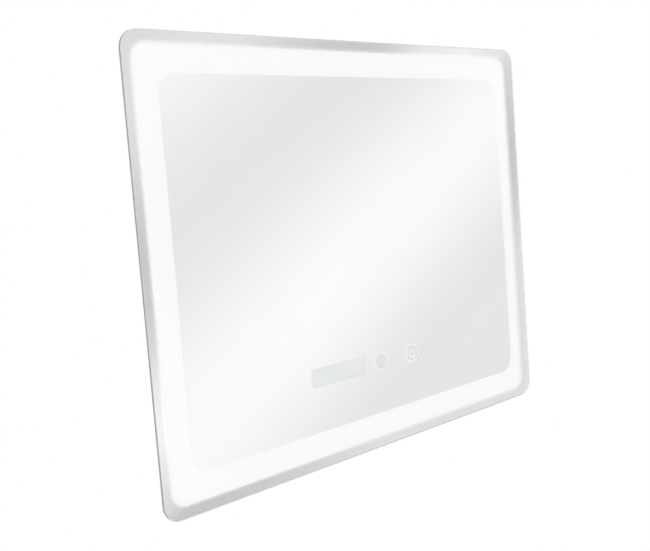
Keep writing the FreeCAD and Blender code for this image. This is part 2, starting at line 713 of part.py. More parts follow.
def make_rails():
    lip_back = "(-rail_step + rail_thick)"
    step_top = "(rail_head + rail_thick)"
    lip_top = f"({step_top} + lip_height)"
    wall_profile = rail_body("wall_rail_profile", [
        ("0", "-rail_foot"), ("0", step_top), (lip_back, step_top), (lip_back, lip_top),
        ("-rail_step", lip_top), ("-rail_step", "rail_head"), ("-rail_thick", "rail_head"),
        ("-rail_thick", "-rail_foot"),
    ], "wall_rail_length")
    slots = [
        slot(f"wall_slot_{side}", f"0 {sign} slot_spacing / 2", "0", "slot_length", "slot_width",
             "-rail_thick - past", "past")
        for side, sign in (("left", "-"), ("right", "+"))
    ]
    keep("wall_rail", cut("wall_rail", wall_profile, slots))

    inner_front = f"({lip_back} + lip_play)"
    inner_back = f"({inner_front} + rail_thick)"
    plate_back = f"({panel_back} + rail_thick)"
    plate_top = f"({hanger_low} + hanger_plate)"
    hanger_profile = rail_body("hanger_rail_profile", [
        (panel_back, lip_top), (inner_front, lip_top), (inner_front, f"{step_top} + lip_clear"),
        (inner_back, f"{step_top} + lip_clear"), (inner_back, hanger_low), (plate_back, hanger_low),
        (plate_back, plate_top), (panel_back, plate_top),
    ], "hanger_length")
    rivet_hole = "rivet_radius + hole_play"
    keep("hanger_rail", cut("hanger_rail", hanger_profile, holes(
        "hanger_hole", rivet_points, rivet_hole, f"{panel_back} - past", f"{plate_back} + past")))

    bar_front = f"({panel_front} - bar_thick)"
    bar = block("backing_bar_blank", "0", f"{hanger_low} + hanger_plate / 2", "hanger_length", "hanger_plate",
                bar_front, panel_front)
    keep("backing_bar", cut("backing_bar", bar, holes(
        "bar_hole", rivet_points, rivet_hole, f"{bar_front} - past", f"{panel_front} + past")))

    rivets = []
    for number, (x, z) in enumerate(rivet_points):
        rivets.append(join(f"rivet_{number}", [
            rod(f"rivet_shank_{number}", x, z, "rivet_radius", bar_front, plate_back),
            cone(f"rivet_back_{number}", x, z, "rivet_head", "rivet_crown", plate_back,
                 f"{plate_back} + rivet_head_high"),
            cone(f"rivet_front_{number}", x, z, "rivet_crown", "rivet_head",
                 f"{bar_front} - rivet_head_high", bar_front),
        ]))
    keep("hanger_rivets", group("hanger_rivets", rivets))


# ---------------------------------------------------------------- clock and touch switches

def make_clock():
    z = f"({middle} + clock_z)"
    lens_wide, lens_high = "(window_wide + 2 * lens_lap)", "(window_high + 2 * lens_lap)"
    room_wide, room_high = f"({lens_wide} + 2 * clock_play)", f"({lens_high} + 2 * clock_play)"
    lens_back = f"({coat_back} + lens_thick)"
    housing_back = f"({coat_back} + clock_depth)"
    floor = f"({housing_back} - clock_wall)"
    keep("clock_lens", block("clock_lens", "clock_x", z, lens_wide, lens_high, coat_back, lens_back))
    shell_wide, shell_high = (f"{room} + 2 * clock_wall" for room in (room_wide, room_high))
    shell = block("clock_shell", "clock_x", z, shell_wide, shell_high, coat_back, housing_back)
    room = block("clock_room", "clock_x", z, room_wide, room_high, f"{coat_back} - past", floor)
    keep("clock_housing", cut("clock_housing", shell, [room]))

    board_back = f"({lens_back} + digit_deep + board_thick)"
    board_front = f"({lens_back} + digit_deep)"
    board = block("clock_board_plate", "clock_x", z, lens_wide, lens_high, board_front, board_back)
    posts = [
        rod(f"clock_post_{number}", f"clock_x {sign} ({lens_wide} / 2 - clock_post_inset)", z,
            "standoff_radius", board_front, floor)
        for number, sign in enumerate(("-", "+"))
    ]
    keep("clock_board", join("clock_board", [board] + posts))

    digits = [
        block(f"digit_{number}", f"clock_x + {number - 1.5} * digit_pitch", z, "digit_wide", "digit_high",
              lens_back, board_front)
        for number in range(4)
    ]
    for number, sign in enumerate(("-", "+")):
        digits.append(block(f"colon_{number}", "clock_x", f"{z} {sign} colon_rise", "colon_side",
                            "colon_side", lens_back, board_front))
    keep("clock_digits", group("clock_digits", digits))


def ring_sector(name, x, z, radius, front, back, angle, turn):
    """A curved line of a touch symbol."""
    outer = rod(name + "_outer", x, z, f"({radius}) + symbol_line / 2", front, back, angle, turn)
    inner = rod(name + "_inner", x, z, f"({radius}) - symbol_line / 2", f"{front} - past", f"{back} + past")
    return cut(name, outer, [inner])


def make_touch_switches():
    z = f"({middle} + touch_z)"
    front, back = f"{glass_back} - past", f"{coat_back} + past"
    power_symbol = [
        ring_sector("power_arc", "power_x", z, "symbol_radius", front, back, 280, 130),
        block("power_stem", "power_x", f"{z} + stem_rise", "symbol_line", "stem_high", front, back),
    ]
    defog_symbol = []
    for number in range(3):
        x = f"defog_x + {number - 1} * wave_pitch"
        reach = "wave_radius * cos(45)"             # half the height of an arc of 90 degrees
        defog_symbol.append(join(f"wave_{number}", [
            ring_sector(f"wave_low_{number}", f"{x} - {reach}", f"{z} - {reach}", "wave_radius",
                        front, back, 92, -46),
            ring_sector(f"wave_high_{number}", f"{x} + {reach}", f"{z} + {reach}", "wave_radius",
                        front, back, 92, 134),
        ]))
    guide_back = f"({coat_back} + guide_thick)"
    for name, symbol in (("power", power_symbol), ("defog", defog_symbol)):
        disc = rod(f"{name}_disc", f"{name}_x", z, "icon_radius - icon_ring", coat_front, coat_back)
        keep(f"{name}_icon_film", cut(f"{name}_icon_film", disc, symbol))
        keep(f"{name}_light_guide", rod(f"{name}_light_guide", f"{name}_x", z, "guide_radius",
                                        coat_back, guide_back))
        sensor = block(f"{name}_sensor_board", f"{name}_x", z, "sensor_side", "sensor_side",
                       guide_back, f"{guide_back} + board_thick")
        keep(f"{name}_sensor_board", sensor)


# ---------------------------------------------------------------- electrics

def make_driver():
    z = f"({middle} + parts_z)"
    case_front = f"({panel_front} - driver_depth)"
    inner_long, inner_high = "(driver_long - 2 * case_wall)", "(driver_high - 2 * case_wall)"
    floor = f"({panel_front} - case_wall)"
    cover_back = f"({case_front} + case_wall)"
    shell = block("driver_shell", "driver_x", z, "driver_long", "driver_high", cover_back, panel_front)
    room = block("driver_room", "driver_x", z, inner_long, inner_high, f"{cover_back} - past", floor)
    tabs = block("driver_tabs", "driver_x", z, "driver_long + 2 * tab_long", "driver_high / 2",
                 floor, panel_front)
    blank = join("driver_blank", [cut("driver_tray", shell, [room]), tabs])
    tab_holes = holes("tab_hole", driver_screw_points, "screw_radius + hole_play", f"{floor} - past",
                      f"{panel_front} + past")
    keep("driver_case", cut("driver_case", blank, tab_holes))
    cover = block("driver_cover", "driver_x", z, "driver_long", "driver_high", case_front, cover_back)
    keep("driver_cover", cover)

    board_back = f"({floor} - driver_board_gap)"
    board_front = f"({board_back} - board_thick)"
    board = block("driver_board_plate", "driver_x", z, inner_long, inner_high, board_front, board_back)
    posts = [
        rod(f"driver_post_{number}", f"driver_x {sign} ({inner_long} / 2 - driver_post_inset)", z,
            "standoff_radius", board_front, floor)
        for number, sign in enumerate(("-", "+"))
    ]
    keep("driver_board", join("driver_board", [board] + posts))
    # along the board, share of the room in front of it, width, height
    bits = (("transformer", 0.0, 0.95, 26, 30), ("choke", -0.28, 0.75, 16, 22), ("bridge", -0.4, 0.6, 8, 14),
            ("regulator", 0.22, 0.7, 10, 24), ("output_choke", 0.4, 0.6, 12, 16))
    room_deep = f"({board_front} - {cover_back})"
    pieces = [
        block(name, f"driver_x + {along} * {inner_long}", z, str(wide), str(high),
              f"{board_front} - {share} * {room_deep}", board_front)
        for name, along, share, wide, high in bits
    ]
    for number, along in enumerate((-0.16, 0.12, 0.31)):
        pieces.append(rod(f"capacitor_{number}", f"driver_x + {along} * {inner_long}", z, "capacitor_radius",
                          f"{board_front} - 0.9 * {room_deep}", board_front))
    keep("driver_components", group("driver_components", pieces))


def make_control_board():
    z = f"({middle} + parts_z)"
    board_front = f"({wire_plane} - board_thick / 2)"
    board_back = f"({wire_plane} + board_thick / 2)"
    keep("control_board", block("control_board", "control_x", z, "control_wide", "control_high",
                                board_front, board_back))
    # each part's place across and up the board, as a share of its sides, and its own width, height and depth
    bits = (("relay", -0.3, 0.15, 18, 15, 7), ("relay_two", 0.3, 0.15, 18, 15, 7),
            ("controller", 0.0, 0.1, 10, 10, 1.5), ("socket_clock", -0.3, -0.3, 10, 6, 5),
            ("socket_touch", 0.0, -0.3, 14, 6, 5), ("socket_defog", 0.3, -0.3, 8, 6, 5))
    pieces = [
        block(name, f"control_x + {along} * control_wide", f"{z} + {up} * control_high", str(wide), str(high),
              f"{board_front} - {deep}", board_front)
        for name, along, up, wide, high, deep in bits
    ]
    keep("control_components", group("control_components", pieces))
    keep("board_standoffs", group("board_standoffs", holes(
        "standoff", standoff_points, "standoff_radius", board_back, panel_front)))


def make_junction_box():
    """A box let into the panel from behind, with a lid that carries the cable grommet."""
    floor_front = f"({panel_front} - box_depth)"
    flange_back = f"({panel_back} + box_wall)"
    lid_back = f"({flange_back} + box_wall)"
    flange_wide, flange_high = "(box_wide + 2 * box_flange)", "(box_high + 2 * box_flange)"
    shell = join("box_blank", [
        block("box_shell", "box_x", box_z, "box_wide", "box_high", floor_front, flange_back),
        block("box_rim", "box_x", box_z, flange_wide, flange_high, panel_back, flange_back),
    ])
    room = block("box_room", "box_x", box_z, "box_wide - 2 * box_wall", "box_high - 2 * box_wall",
                 f"{floor_front} + box_wall", f"{flange_back} + past")
    wire_hole = doc.addObject("Part::Cylinder", "box_wire_hole")
    bind(wire_hole, "Radius", "wire_radius + hole_play")
    bind(wire_hole, "Height", "2 * box_wall + 2 * past")
    wire_hole.Placement.Rotation = FreeCAD.Rotation(Vector(0, 1, 0), 90)
    place(wire_hole, "box_x - box_wide / 2 - past", wire_plane, box_z)
    screw_holes = holes("box_screw_hole", lid_screw_points, "screw_radius + hole_play",
                        f"{panel_back} - past", f"{flange_back} + past")
    keep("junction_box", cut("junction_box", shell, [room, wire_hole] + screw_holes))

    grommet_x = "(box_x + grommet_shift)"
    lid = block("lid_blank", "box_x", box_z, flange_wide, flange_high, flange_back, lid_back)
    lid_tools = holes("lid_screw_hole", lid_screw_points, "screw_radius + hole_play",
                      f"{flange_back} - past", f"{lid_back} + past")
    lid_tools.append(rod("lid_grommet_hole", grommet_x, box_z, "grommet_neck", f"{flange_back} - past",
                         f"{lid_back} + past"))
    keep("junction_lid", cut("junction_lid", lid, lid_tools))

    rubber = join("grommet_blank", [
        rod("grommet_front", grommet_x, box_z, "grommet_rim", f"{flange_back} - grommet_lip", flange_back),
        rod("grommet_middle", grommet_x, box_z, "grommet_neck - hole_play", flange_back, lid_back),
        cone("grommet_back", grommet_x, box_z, "grommet_rim", "grommet_rim - grommet_taper", lid_back,
             f"{lid_back} + grommet_lip"),
    ])
    keep("cable_grommet", cut("cable_grommet", rubber, [
        rod("grommet_hole", grommet_x, box_z, "grommet_bore", f"{flange_back} - grommet_lip - past",
            f"{lid_back} + grommet_lip + past")]))

    block_x = "(box_x - terminal_shift)"
    seat = f"({floor_front} + box_wall)"
    top = f"({seat} + terminal_deep)"
    blank = block("terminal_blank", block_x, box_z, "terminal_wide", "terminal_high", seat, top)
    wells = [
        rod(f"terminal_well_{number}", f"{block_x} + {number - 1} * terminal_pitch", box_z,
            "well_radius", f"{top} - well_deep", f"{top} + past")
        for number in range(3)
    ]
    keep("terminal_block", cut("terminal_block", blank, wells))
    screws = [
        rod(f"terminal_screw_{number}", f"{block_x} + {number - 1} * terminal_pitch", box_z,
            "well_radius - hole_play", f"{top} - well_deep", f"{top} - well_deep + well_screw_high")
        for number in range(3)
    ]
    keep("terminal_screws", group("terminal_screws", screws))


def make_small_electrics():
    keep("defog_pad", block("defog_pad", "0", f"{middle} + pad_z", "pad_wide", "pad_high",
                            coat_back, f"{coat_back} + pad_thick"))
    z = f"({middle} + earth_z)"
    foot_front = f"({panel_front} - stud_foot_thick)"
    tip = f"({panel_front} - stud_length)"
    keep("earth_stud", join("earth_stud", [
        rod("earth_shank", "earth_x", z, "stud_radius", tip, panel_front),
        rod("earth_foot", "earth_x", z, "stud_foot", foot_front, panel_front),
    ]))
    nut = doc.addObject("Part::Prism", "earth_nut_blank")
    nut.Polygon = 6
    bind(nut, "Circumradius", "nut_radius")
    bind(nut, "Height", "nut_high")
    nut.Placement.Rotation = FreeCAD.Rotation(Vector(1, 0, 0), 90)
    place(nut, "earth_x", foot_front, z)
    bore = rod("earth_nut_bore", "earth_x", z, "stud_radius + hole_play", f"{foot_front} - nut_high - past",
               f"{foot_front} + past")
    keep("earth_nut", cut("earth_nut", nut, [bore]))


# ---------------------------------------------------------------- wires

def route_points(name, points):
    """The corners of a wire's route, as vertices held by the sheet."""
    corners = []
    for number, point in enumerate(points):
        corner = doc.addObject("Part::Vertex", f"{name}_point_{number}")
        for field, text in zip("XYZ", point):
            bind(corner, field, text)
        corners.append(corner)
    return corners


def tube(corners, radius, bend):
    """A round tube along straight runs that are joined by tangent arcs."""
    points = [Vector(corner.X.Value, corner.Y.Value, corner.Z.Value) for corner in corners]
    edges = []
    start = points[0]
    for before, corner, after in zip(points, points[1:], points[2:]):
        arrive = (corner - before).normalize()
        leave = (after - corner).normalize()
        turn = arrive.getAngle(leave)
        # the tangent of half the turn, times the radius, is how far the arc starts before its corner
        half_tangent = (arrive.cross(leave)).Length / (1 + arrive.dot(leave))
        shorter = min((corner - before).Length, (after - corner).Length)
        setback = min(bend * half_tangent, 0.45 * shorter)
        arc_radius = setback / half_tangent
        first = corner - arrive * setback
        last = corner + leave * setback
        inward = (leave - arrive).normalize()
        centre = corner + inward * (arc_radius ** 2 + setback ** 2) ** 0.5
        edges.append(Part.LineSegment(start, first).toShape())
        edges.append(Part.Arc(first, centre - inward * arc_radius, last).toShape())
        start = last
        print(f"  turn {math.degrees(turn):.0f} degrees, bend radius {arc_radius:.1f} mm")
    edges.append(Part.LineSegment(start, points[-1]).toShape())
    path = Part.Wire(edges)
    section = Part.Wire([Part.Circle(points[0], points[1] - points[0], radius).toShape()])
    solid = path.makePipeShell([section], True, False)
    ideal = math.pi * radius ** 2 * path.Length
    if abs(solid.Volume - ideal) > 0.01 * ideal:
        raise ValueError("a wire's volume is not its section times its length")
    return solid


def make_wires():
    z = f"({middle} + parts_z)"
    y = wire_plane
    box_left = "(box_x - box_wide / 2)"
    over = f"({z} + control_high / 2 + supply_rise)"            # height of the supply wire above the board
    driver_top = f"({z} + driver_high / 2)"
    driver_right = "(driver_x + driver_long / 2)"
    driver_left = "(driver_x - driver_long / 2)"
    board_left = "(control_x - control_wide / 2)"
    board_low = f"({z} - control_high / 2)"
    strip_face = f"(-{half_frame_x} + frame_wall + strip_thick)"
    clock_top = f"({middle} + clock_z + window_high / 2 + lens_lap + clock_play + clock_wall)"
    terminal_left = "(box_x - terminal_shift - terminal_wide / 2)"
    beside_board = f"(({box_left} + control_x + control_wide / 2) / 2)"
    supply_x = f"({driver_right} - supply_inset)"
    clock_turn = f"({board_left} + {driver_right}) / 2"
    light_turn = f"({driver_left} + {strip_face}) / 2"
    lead_z = f"({z} + lead_rise)"
    pad_face = f"({coat_back} + pad_thick + wire_radius)"
    sensor_y = f"({coat_back} + guide_thick + board_thick / 2)"
    sensor_top = f"({middle} + touch_z + sensor_side / 2)"
    routes = {
        "supply_wire": [
            [(terminal_left, y, z), (beside_board, y, z), (beside_board, y, over), (supply_x, y, over),
             (supply_x, y, driver_top)],
        ],
        "low_voltage_wire": [
            [(driver_right, y, lead_z), (board_left, y, lead_z)],
        ],
        "light_wire": [
            [(driver_left, y, lead_z), (light_turn, y, lead_z), (light_turn, y, f"{z} - light_drop"),
             (strip_face, y, f"{z} - light_drop")],
        ],
        "clock_wire": [
            [(board_left, y, f"{z} - clock_lead_drop"), (clock_turn, y, f"{z} - clock_lead_drop"),
             (clock_turn, y, f"{clock_top} + clock_loop"), ("clock_x", y, f"{clock_top} + clock_loop"),
             ("clock_x", y, clock_top)],
        ],
        "defog_wire": [
            [("control_x", y, board_low), ("control_x", y, f"{board_low} - pad_lead_start"),
             ("control_x", pad_face, f"{board_low} - pad_lead_turn"),
             ("control_x", pad_face, f"{board_low} - pad_lead_end")],
        ],
        "touch_wires": [
            [(f"{name}_x", y, board_low), (f"{name}_x", y, f"{sensor_top} + touch_lead_turn"),
             (f"{name}_x", sensor_y, f"{sensor_top} + touch_lead_end"), (f"{name}_x", sensor_y, sensor_top)]
            for name in ("power", "defog")
        ],
    }
    corners = {
        name: [route_points(f"{name}_{number}", points) for number, points in enumerate(runs)]
        for name, runs in routes.items()
    }
    doc.recompute()
    bend = sheet.get("wire_bend")
    thick = sheet.get("wire_radius")
    for name, runs in corners.items():
        print(name)
        # a touch wire lands on the edge of a thin board, so it is thinner than the others
        radius = min(thick, 0.45 * sheet.get("board_thick")) if name == "touch_wires" else thick
        solids = [tube(run, radius, bend) for run in runs]
        wire = doc.addObject("Part::Feature", name)
        wire.Shape = solids[0] if len(solids) == 1 else Part.makeCompound(solids)
        wire.Placement = FreeCAD.Placement()
        keep(name, wire)


# ---------------------------------------------------------------- whole mirror

make_glass()
make_silver()
make_diffuser()
make_frame()
make_tape()
make_lights()
make_back_panel()
make_spacers()
make_rails()
make_clock()
make_touch_switches()
make_driver()
make_control_board()
make_junction_box()
make_small_electrics()
make_wires()
doc.recompute()

for thing in doc.Objects:
    if "Invalid" in thing.State or "Error" in thing.State:
        raise ValueError(f"{thing.Label} did not recompute: {thing.State}")
for name, thing in parts.items():
    if thing.Shape.isNull() or not thing.Shape.isValid() or not thing.Shape.Solids:
        raise ValueError(f"{name} has no valid solid")

os.makedirs("parts", exist_ok=True)
for name, thing in parts.items():
    thing.Shape.exportStep(f"parts/{name}.step")
print(len(parts), "pieces written")
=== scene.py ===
import bpy
import json
import math
from mathutils import Matrix, Vector


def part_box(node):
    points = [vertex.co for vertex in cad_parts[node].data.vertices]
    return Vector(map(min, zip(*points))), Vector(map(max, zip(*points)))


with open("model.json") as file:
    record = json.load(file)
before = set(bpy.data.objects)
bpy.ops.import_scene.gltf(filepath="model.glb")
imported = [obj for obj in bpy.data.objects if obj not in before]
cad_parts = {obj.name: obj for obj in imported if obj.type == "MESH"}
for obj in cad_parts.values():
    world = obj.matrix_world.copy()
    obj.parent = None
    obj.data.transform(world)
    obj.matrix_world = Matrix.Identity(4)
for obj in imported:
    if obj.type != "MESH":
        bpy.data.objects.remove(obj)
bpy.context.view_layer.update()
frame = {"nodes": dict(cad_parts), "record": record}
nodes = frame["nodes"]
slotOf = {entry["node"]: entry["material_slot"] for entry in frame["record"]["subparts"]}
print("frame loaded,", len(nodes), "nodes")

glassLow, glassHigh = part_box("mirror_glass")
mirrorMiddle = (glassLow + glassHigh) / 2
mirrorHalf = (glassHigh - glassLow) / 2
millimetre = 0.001
black = (0.0, 0.0, 0.0)
white = (1.0, 1.0, 1.0)


# the camera stands where the photograph was taken from

cameraPlace = {
    "position": (-1.0799, -1.0167, -0.0586),   # metres: left of the mirror, a little above its middle
    "right": (0.70045, -0.70959, -0.07647),    # the picture is rolled by a few degrees
    "up": (0.12482, 0.01630, 0.99205),
    "lens": 55.2,
    "sensor": 36.0,
}


def placeCamera():
    data = bpy.data.cameras.new("view_camera")
    data.sensor_width = cameraPlace["sensor"]
    data.lens = cameraPlace["lens"]
    data.clip_start = 0.01
    camera = bpy.data.objects.new("view_camera", data)
    bpy.context.scene.collection.objects.link(camera)
    right = Vector(cameraPlace["right"]).normalized()
    up = Vector(cameraPlace["up"])
    back = right.cross(up).normalized()
    up = back.cross(right)
    turn = Matrix((right, up, back)).transposed().to_4x4()
    camera.matrix_world = Matrix.Translation(cameraPlace["position"]) @ turn
    bpy.context.scene.camera = camera


placeCamera()
print("camera placed")


# short helpers for node trees

def give(tree, socket, value):
    if isinstance(value, bpy.types.NodeSocket):
        tree.links.new(value, socket)
    elif socket.type == "RGBA" and len(value) == 3:
        socket.default_value = (*value, 1.0)
    else:
        socket.default_value = value


def add(tree, kind, values=None, **settings):
    node = tree.nodes.new("ShaderNode" + kind)
    for name, setting in settings.items():
        setattr(node, name, setting)
    for name, value in (values or {}).items():
        give(tree, node.inputs[name], value)
    return node


def calc(tree, operation, *values):
    node = add(tree, "Math", operation=operation)
    for socket, value in zip(node.inputs, values):
        give(tree, socket, value)
    return node.outputs["Value"]


def smooth(tree, value, low, high, outLow=0.0, outHigh=1.0):
    node = add(tree, "MapRange", interpolation_type="SMOOTHSTEP")
    for name, given in zip(("Value", "From Min", "From Max", "To Min", "To Max"),
                           (value, low, high, outLow, outHigh)):
        give(tree, node.inputs[name], given)
    return node.outputs["Result"]


def blendColours(tree, amount, first, second):
    node = add(tree, "Mix", data_type="RGBA")
    sockets = {socket.identifier: socket for socket in node.inputs}
    give(tree, sockets["Factor_Float"], amount)
    give(tree, sockets["A_Color"], first)
    give(tree, sockets["B_Color"], second)
    return next(socket for socket in node.outputs if socket.identifier == "Result_Color")


def noise(tree, place, scale, detail=2.0, rough=0.5):
    values = {"Vector": place, "Scale": scale, "Detail": detail, "Roughness": rough}
    return add(tree, "TexNoise", values).outputs["Fac"]


def objectPlace(tree):
    return add(tree, "TexCoord").outputs["Object"]


def splitPlace(tree, place):
    return add(tree, "SeparateXYZ", {"Vector": place}).outputs


def newGroup(name, inputs, outputs):
    tree = bpy.data.node_groups.new(name, "ShaderNodeTree")
    for socketName, value in inputs.items():
        kind = "NodeSocketVector" if isinstance(value, tuple) else "NodeSocketFloat"
        tree.interface.new_socket(socketName, in_out="INPUT", socket_type=kind).default_value = value
    for socketName, kind in outputs.items():
        tree.interface.new_socket(socketName, in_out="OUTPUT", socket_type="NodeSocket" + kind)
    return tree, tree.nodes.new("NodeGroupInput").outputs, tree.nodes.new("NodeGroupOutput").inputs


def useGroup(tree, group, values=None):
    node = tree.nodes.new("ShaderNodeGroup")
    node.node_tree = group
    for name, value in (values or {}).items():
        give(tree, node.inputs[name], value)
    return node.outputs


# effects that several finishes share

def faceMaskGroup():
    tree, given, result = newGroup(
        "face_masks", {"Flatness": 0.7}, {"Side Faces": "Float", "Rear Faces": "Float"})
    normal = splitPlace(tree, add(tree, "TexCoord").outputs["Normal"])
    level = calc(tree, "ABSOLUTE", normal["Y"])
    give(tree, result["Side Faces"], calc(tree, "LESS_THAN", level, given["Flatness"]))
    give(tree, result["Rear Faces"], calc(tree, "GREATER_THAN", normal["Y"], given["Flatness"]))
    return tree


def fineGrainGroup():
    tree, given, result = newGroup(
        "fine_grain", {"Grains": 900.0, "Clouds": 9.0}, {"Height": "Float", "Tone": "Float"})
    place = objectPlace(tree)
    coarse = noise(tree, place, given["Grains"], 3.0, 0.6)
    lumps = add(tree, "TexVoronoi", {"Vector": place, "Scale": given["Grains"]})
    height = calc(tree, "ADD", coarse, calc(tree, "MULTIPLY", lumps.outputs["Distance"], 0.4))
    give(tree, result["Height"], height)
    clouds = noise(tree, place, given["Clouds"], 4.0, 0.55)
    give(tree, result["Tone"], smooth(tree, clouds, 0.32, 0.68))
    return tree


def drawnLinesGroup():
    tree, given, result = newGroup(
        "drawn_lines", {"Stretch": (8.0, 2600.0, 2600.0)}, {"Height": "Float", "Streaks": "Float"})
    stretched = add(tree, "VectorMath", operation="MULTIPLY")
    give(tree, stretched.inputs[0], objectPlace(tree))
    give(tree, stretched.inputs[1], given["Stretch"])
    lines = noise(tree, stretched.outputs["Vector"], 1.0, 3.0, 0.65)
    broad = noise(tree, stretched.outputs["Vector"], 0.12, 2.0, 0.5)
    give(tree, result["Height"], lines)
    mixed = calc(tree, "ADD", calc(tree, "MULTIPLY", lines, 0.4), calc(tree, "MULTIPLY", broad, 0.6))
    give(tree, result["Streaks"], smooth(tree, mixed, 0.3, 0.7))
    return tree


def dustGroup():
    tree, given, result = newGroup(
        "settled_dust", {"Amount": 0.5, "Patches": 40.0}, {"Dust": "Float", "Marks": "Float"})
    place = objectPlace(tree)
    upward = splitPlace(tree, add(tree, "TexCoord").outputs["Normal"])["Z"]
    shelf = smooth(tree, upward, 0.25, 0.95, 0.12, 1.0)
    patches = smooth(tree, noise(tree, place, given["Patches"], 5.0, 0.65), 0.38, 0.72)
    dust = calc(tree, "MULTIPLY", calc(tree, "MULTIPLY", shelf, patches), given["Amount"])
    give(tree, result["Dust"], dust)
    marks = smooth(tree, noise(tree, place, calc(tree, "MULTIPLY", given["Patches"], 0.35), 6.0, 0.7),
                   0.52, 0.75)
    give(tree, result["Marks"], calc(tree, "MULTIPLY", marks, given["Amount"]))
    return tree


def roundedEdgeGroup():
    tree, given, result = newGroup(
        "rounded_edges", {"Radius": 0.0004, "Scuffs": 120.0}, {"Normal": "Vector", "Worn": "Float"})
    soft = add(tree, "Bevel", {"Radius": given["Radius"]}, samples=4)
    give(tree, result["Normal"], soft.outputs["Normal"])
    agree = add(tree, "VectorMath", operation="DOT_PRODUCT")
    give(tree, agree.inputs[0], soft.outputs["Normal"])
    give(tree, agree.inputs[1], add(tree, "NewGeometry").outputs["Normal"])
    turned = smooth(tree, agree.outputs["Value"], 0.995, 0.93)
    scuffs = smooth(tree, noise(tree, objectPlace(tree), given["Scuffs"], 4.0, 0.7), 0.35, 0.65)
    give(tree, result["Worn"], calc(tree, "MULTIPLY", turned, scuffs))
    return tree


faceMasks = faceMaskGroup()
fineGrain = fineGrainGroup()
drawnLines = drawnLinesGroup()
settledDust = dustGroup()
roundedEdges = roundedEdgeGroup()
print("shared effects made")


# every finish starts from a Principled shader and goes into the slot of the nodes that carry it

def startFinish(name, values):
    material = bpy.data.materials.new(name)
    material.use_nodes = True
    tree = material.node_tree
    shader = tree.nodes["Principled BSDF"]
    for socketName, value in values.items():
        give(tree, shader.inputs[socketName], value)
    return material, tree, shader.inputs


def addBump(tree, height, depth, normal=None):
    values = {"Height": height, "Distance": depth, "Strength": 1.0}
    if normal is not None:
        values["Normal"] = normal
    return add(tree, "Bump", values).outputs["Normal"]


# the glass: clear faces, and ground edges with a little painted glow that stands in for the light caught
# in the sheet

glassValues = {
    "body": (1.0, 1.0, 1.0),
    "tint": (0.62, 0.90, 0.82),          # what is left of white light in thick glass
    "tintStrength": 1.6,                 # per metre
    "groundTone": (0.80, 0.83, 0.82),    # of the ground edges and the arris
    "paintedEdgeLightDeep": (0.235, 0.25, 0.246),    # painted light: a glow standing in for the little light that the sheet leads to its edges
    "paintedEdgeLightPale": (0.265, 0.282, 0.277),
    "paintedArrisGlow": (0.165, 0.17, 0.169),   # painted glow of the narrow bevels along the edges
    "edgeRoughness": 0.42,
    "edgePatches": 26.0,
}


def glassFinish():
    material, tree, sockets = startFinish("clear_float_glass", {
        "Transmission Weight": 1.0, "IOR": 1.5, "Emission Strength": 1.0})
    ground = useGroup(tree, faceMasks, {"Flatness": 0.96})["Side Faces"]
    edges = useGroup(tree, faceMasks, {"Flatness": 0.5})["Side Faces"]
    patches = noise(tree, objectPlace(tree), glassValues["edgePatches"], 3.0, 0.6)
    # painted light: patches of glow along the ground edges
    paintedEdgeGlow = blendColours(tree, smooth(tree, patches, 0.35, 0.65), glassValues["paintedEdgeLightDeep"],
                            glassValues["paintedEdgeLightPale"])
    arris = calc(tree, "SUBTRACT", ground, edges)
    glow = blendColours(tree, arris, paintedEdgeGlow, glassValues["paintedArrisGlow"])
    body = blendColours(tree, ground, glassValues["body"], glassValues["groundTone"])
    give(tree, sockets["Base Color"], body)
    give(tree, sockets["Emission Color"], blendColours(tree, ground, black, glow))
    give(tree, sockets["Roughness"], calc(tree, "MULTIPLY", ground, glassValues["edgeRoughness"]))
    inside = add(tree, "VolumeAbsorption", {
        "Color": glassValues["tint"], "Density": glassValues["tintStrength"]})
    tree.links.new(inside.outputs["Volume"], tree.nodes["Material Output"].inputs["Volume"])
    return material


# the silver coating seen through the glass, with grey backing paint behind it

silverValues = {
    "bright": (0.988, 0.982, 0.984),
    "cloudy": (0.972, 0.967, 0.969),
    "paintDeep": (0.30, 0.31, 0.32),
    "paintPale": (0.36, 0.37, 0.38),
    "paintRoughness": 0.55,
    "paintDepth": 0.00002,
    "paintGrains": 1500.0,
    "paintClouds": 14.0,
    "clouds": 3.0,                       # of the silver, per metre
}


def coatWithPaint(tree, sockets, front):
    masks = useGroup(tree, faceMasks)
    rear = calc(tree, "MAXIMUM", masks["Rear Faces"], masks["Side Faces"])
    grain = useGroup(tree, fineGrain, {
        "Grains": silverValues["paintGrains"], "Clouds": silverValues["paintClouds"]})
    paint = blendColours(tree, grain["Tone"], silverValues["paintDeep"], silverValues["paintPale"])
    give(tree, sockets["Base Color"], blendColours(tree, rear, front, paint))
    give(tree, sockets["Metallic"], calc(tree, "SUBTRACT", 1.0, rear))
    give(tree, sockets["Roughness"], calc(tree, "MULTIPLY", rear, silverValues["paintRoughness"]))
    height = calc(tree, "MULTIPLY", grain["Height"], rear)
    give(tree, sockets["Normal"], addBump(tree, height, silverValues["paintDepth"]))


def silverCentreFinish():
    material, tree, sockets = startFinish("mirror_silver", {})
    clouds = smooth(tree, noise(tree, objectPlace(tree), silverValues["clouds"], 3.0, 0.5), 0.3, 0.7)
    front = blendColours(tree, clouds, silverValues["cloudy"], silverValues["bright"])
    coatWithPaint(tree, sockets, front)
    return material


# two effects that the rim's silver and the opal sheet share: the painted glow fades out into painted shade
# towards the edge of the glass, wider and more softly on the right
litEdge = {
    "left": 13.9 * millimetre,           # edge of the glass to the middle of the fade
    "right": 24.6 * millimetre,
    "top": 14.0 * millimetre,
    "bottom": 14.9 * millimetre,
    "corner": 23.0 * millimetre,
    "fade": 4.0 * millimetre,            # half the width of the fade
    "fadeRight": 7.4 * millimetre,
    "rightFrom": 0.30,                   # metres from the middle, where the wider fade begins and is full
    "rightTo": 0.38,
}


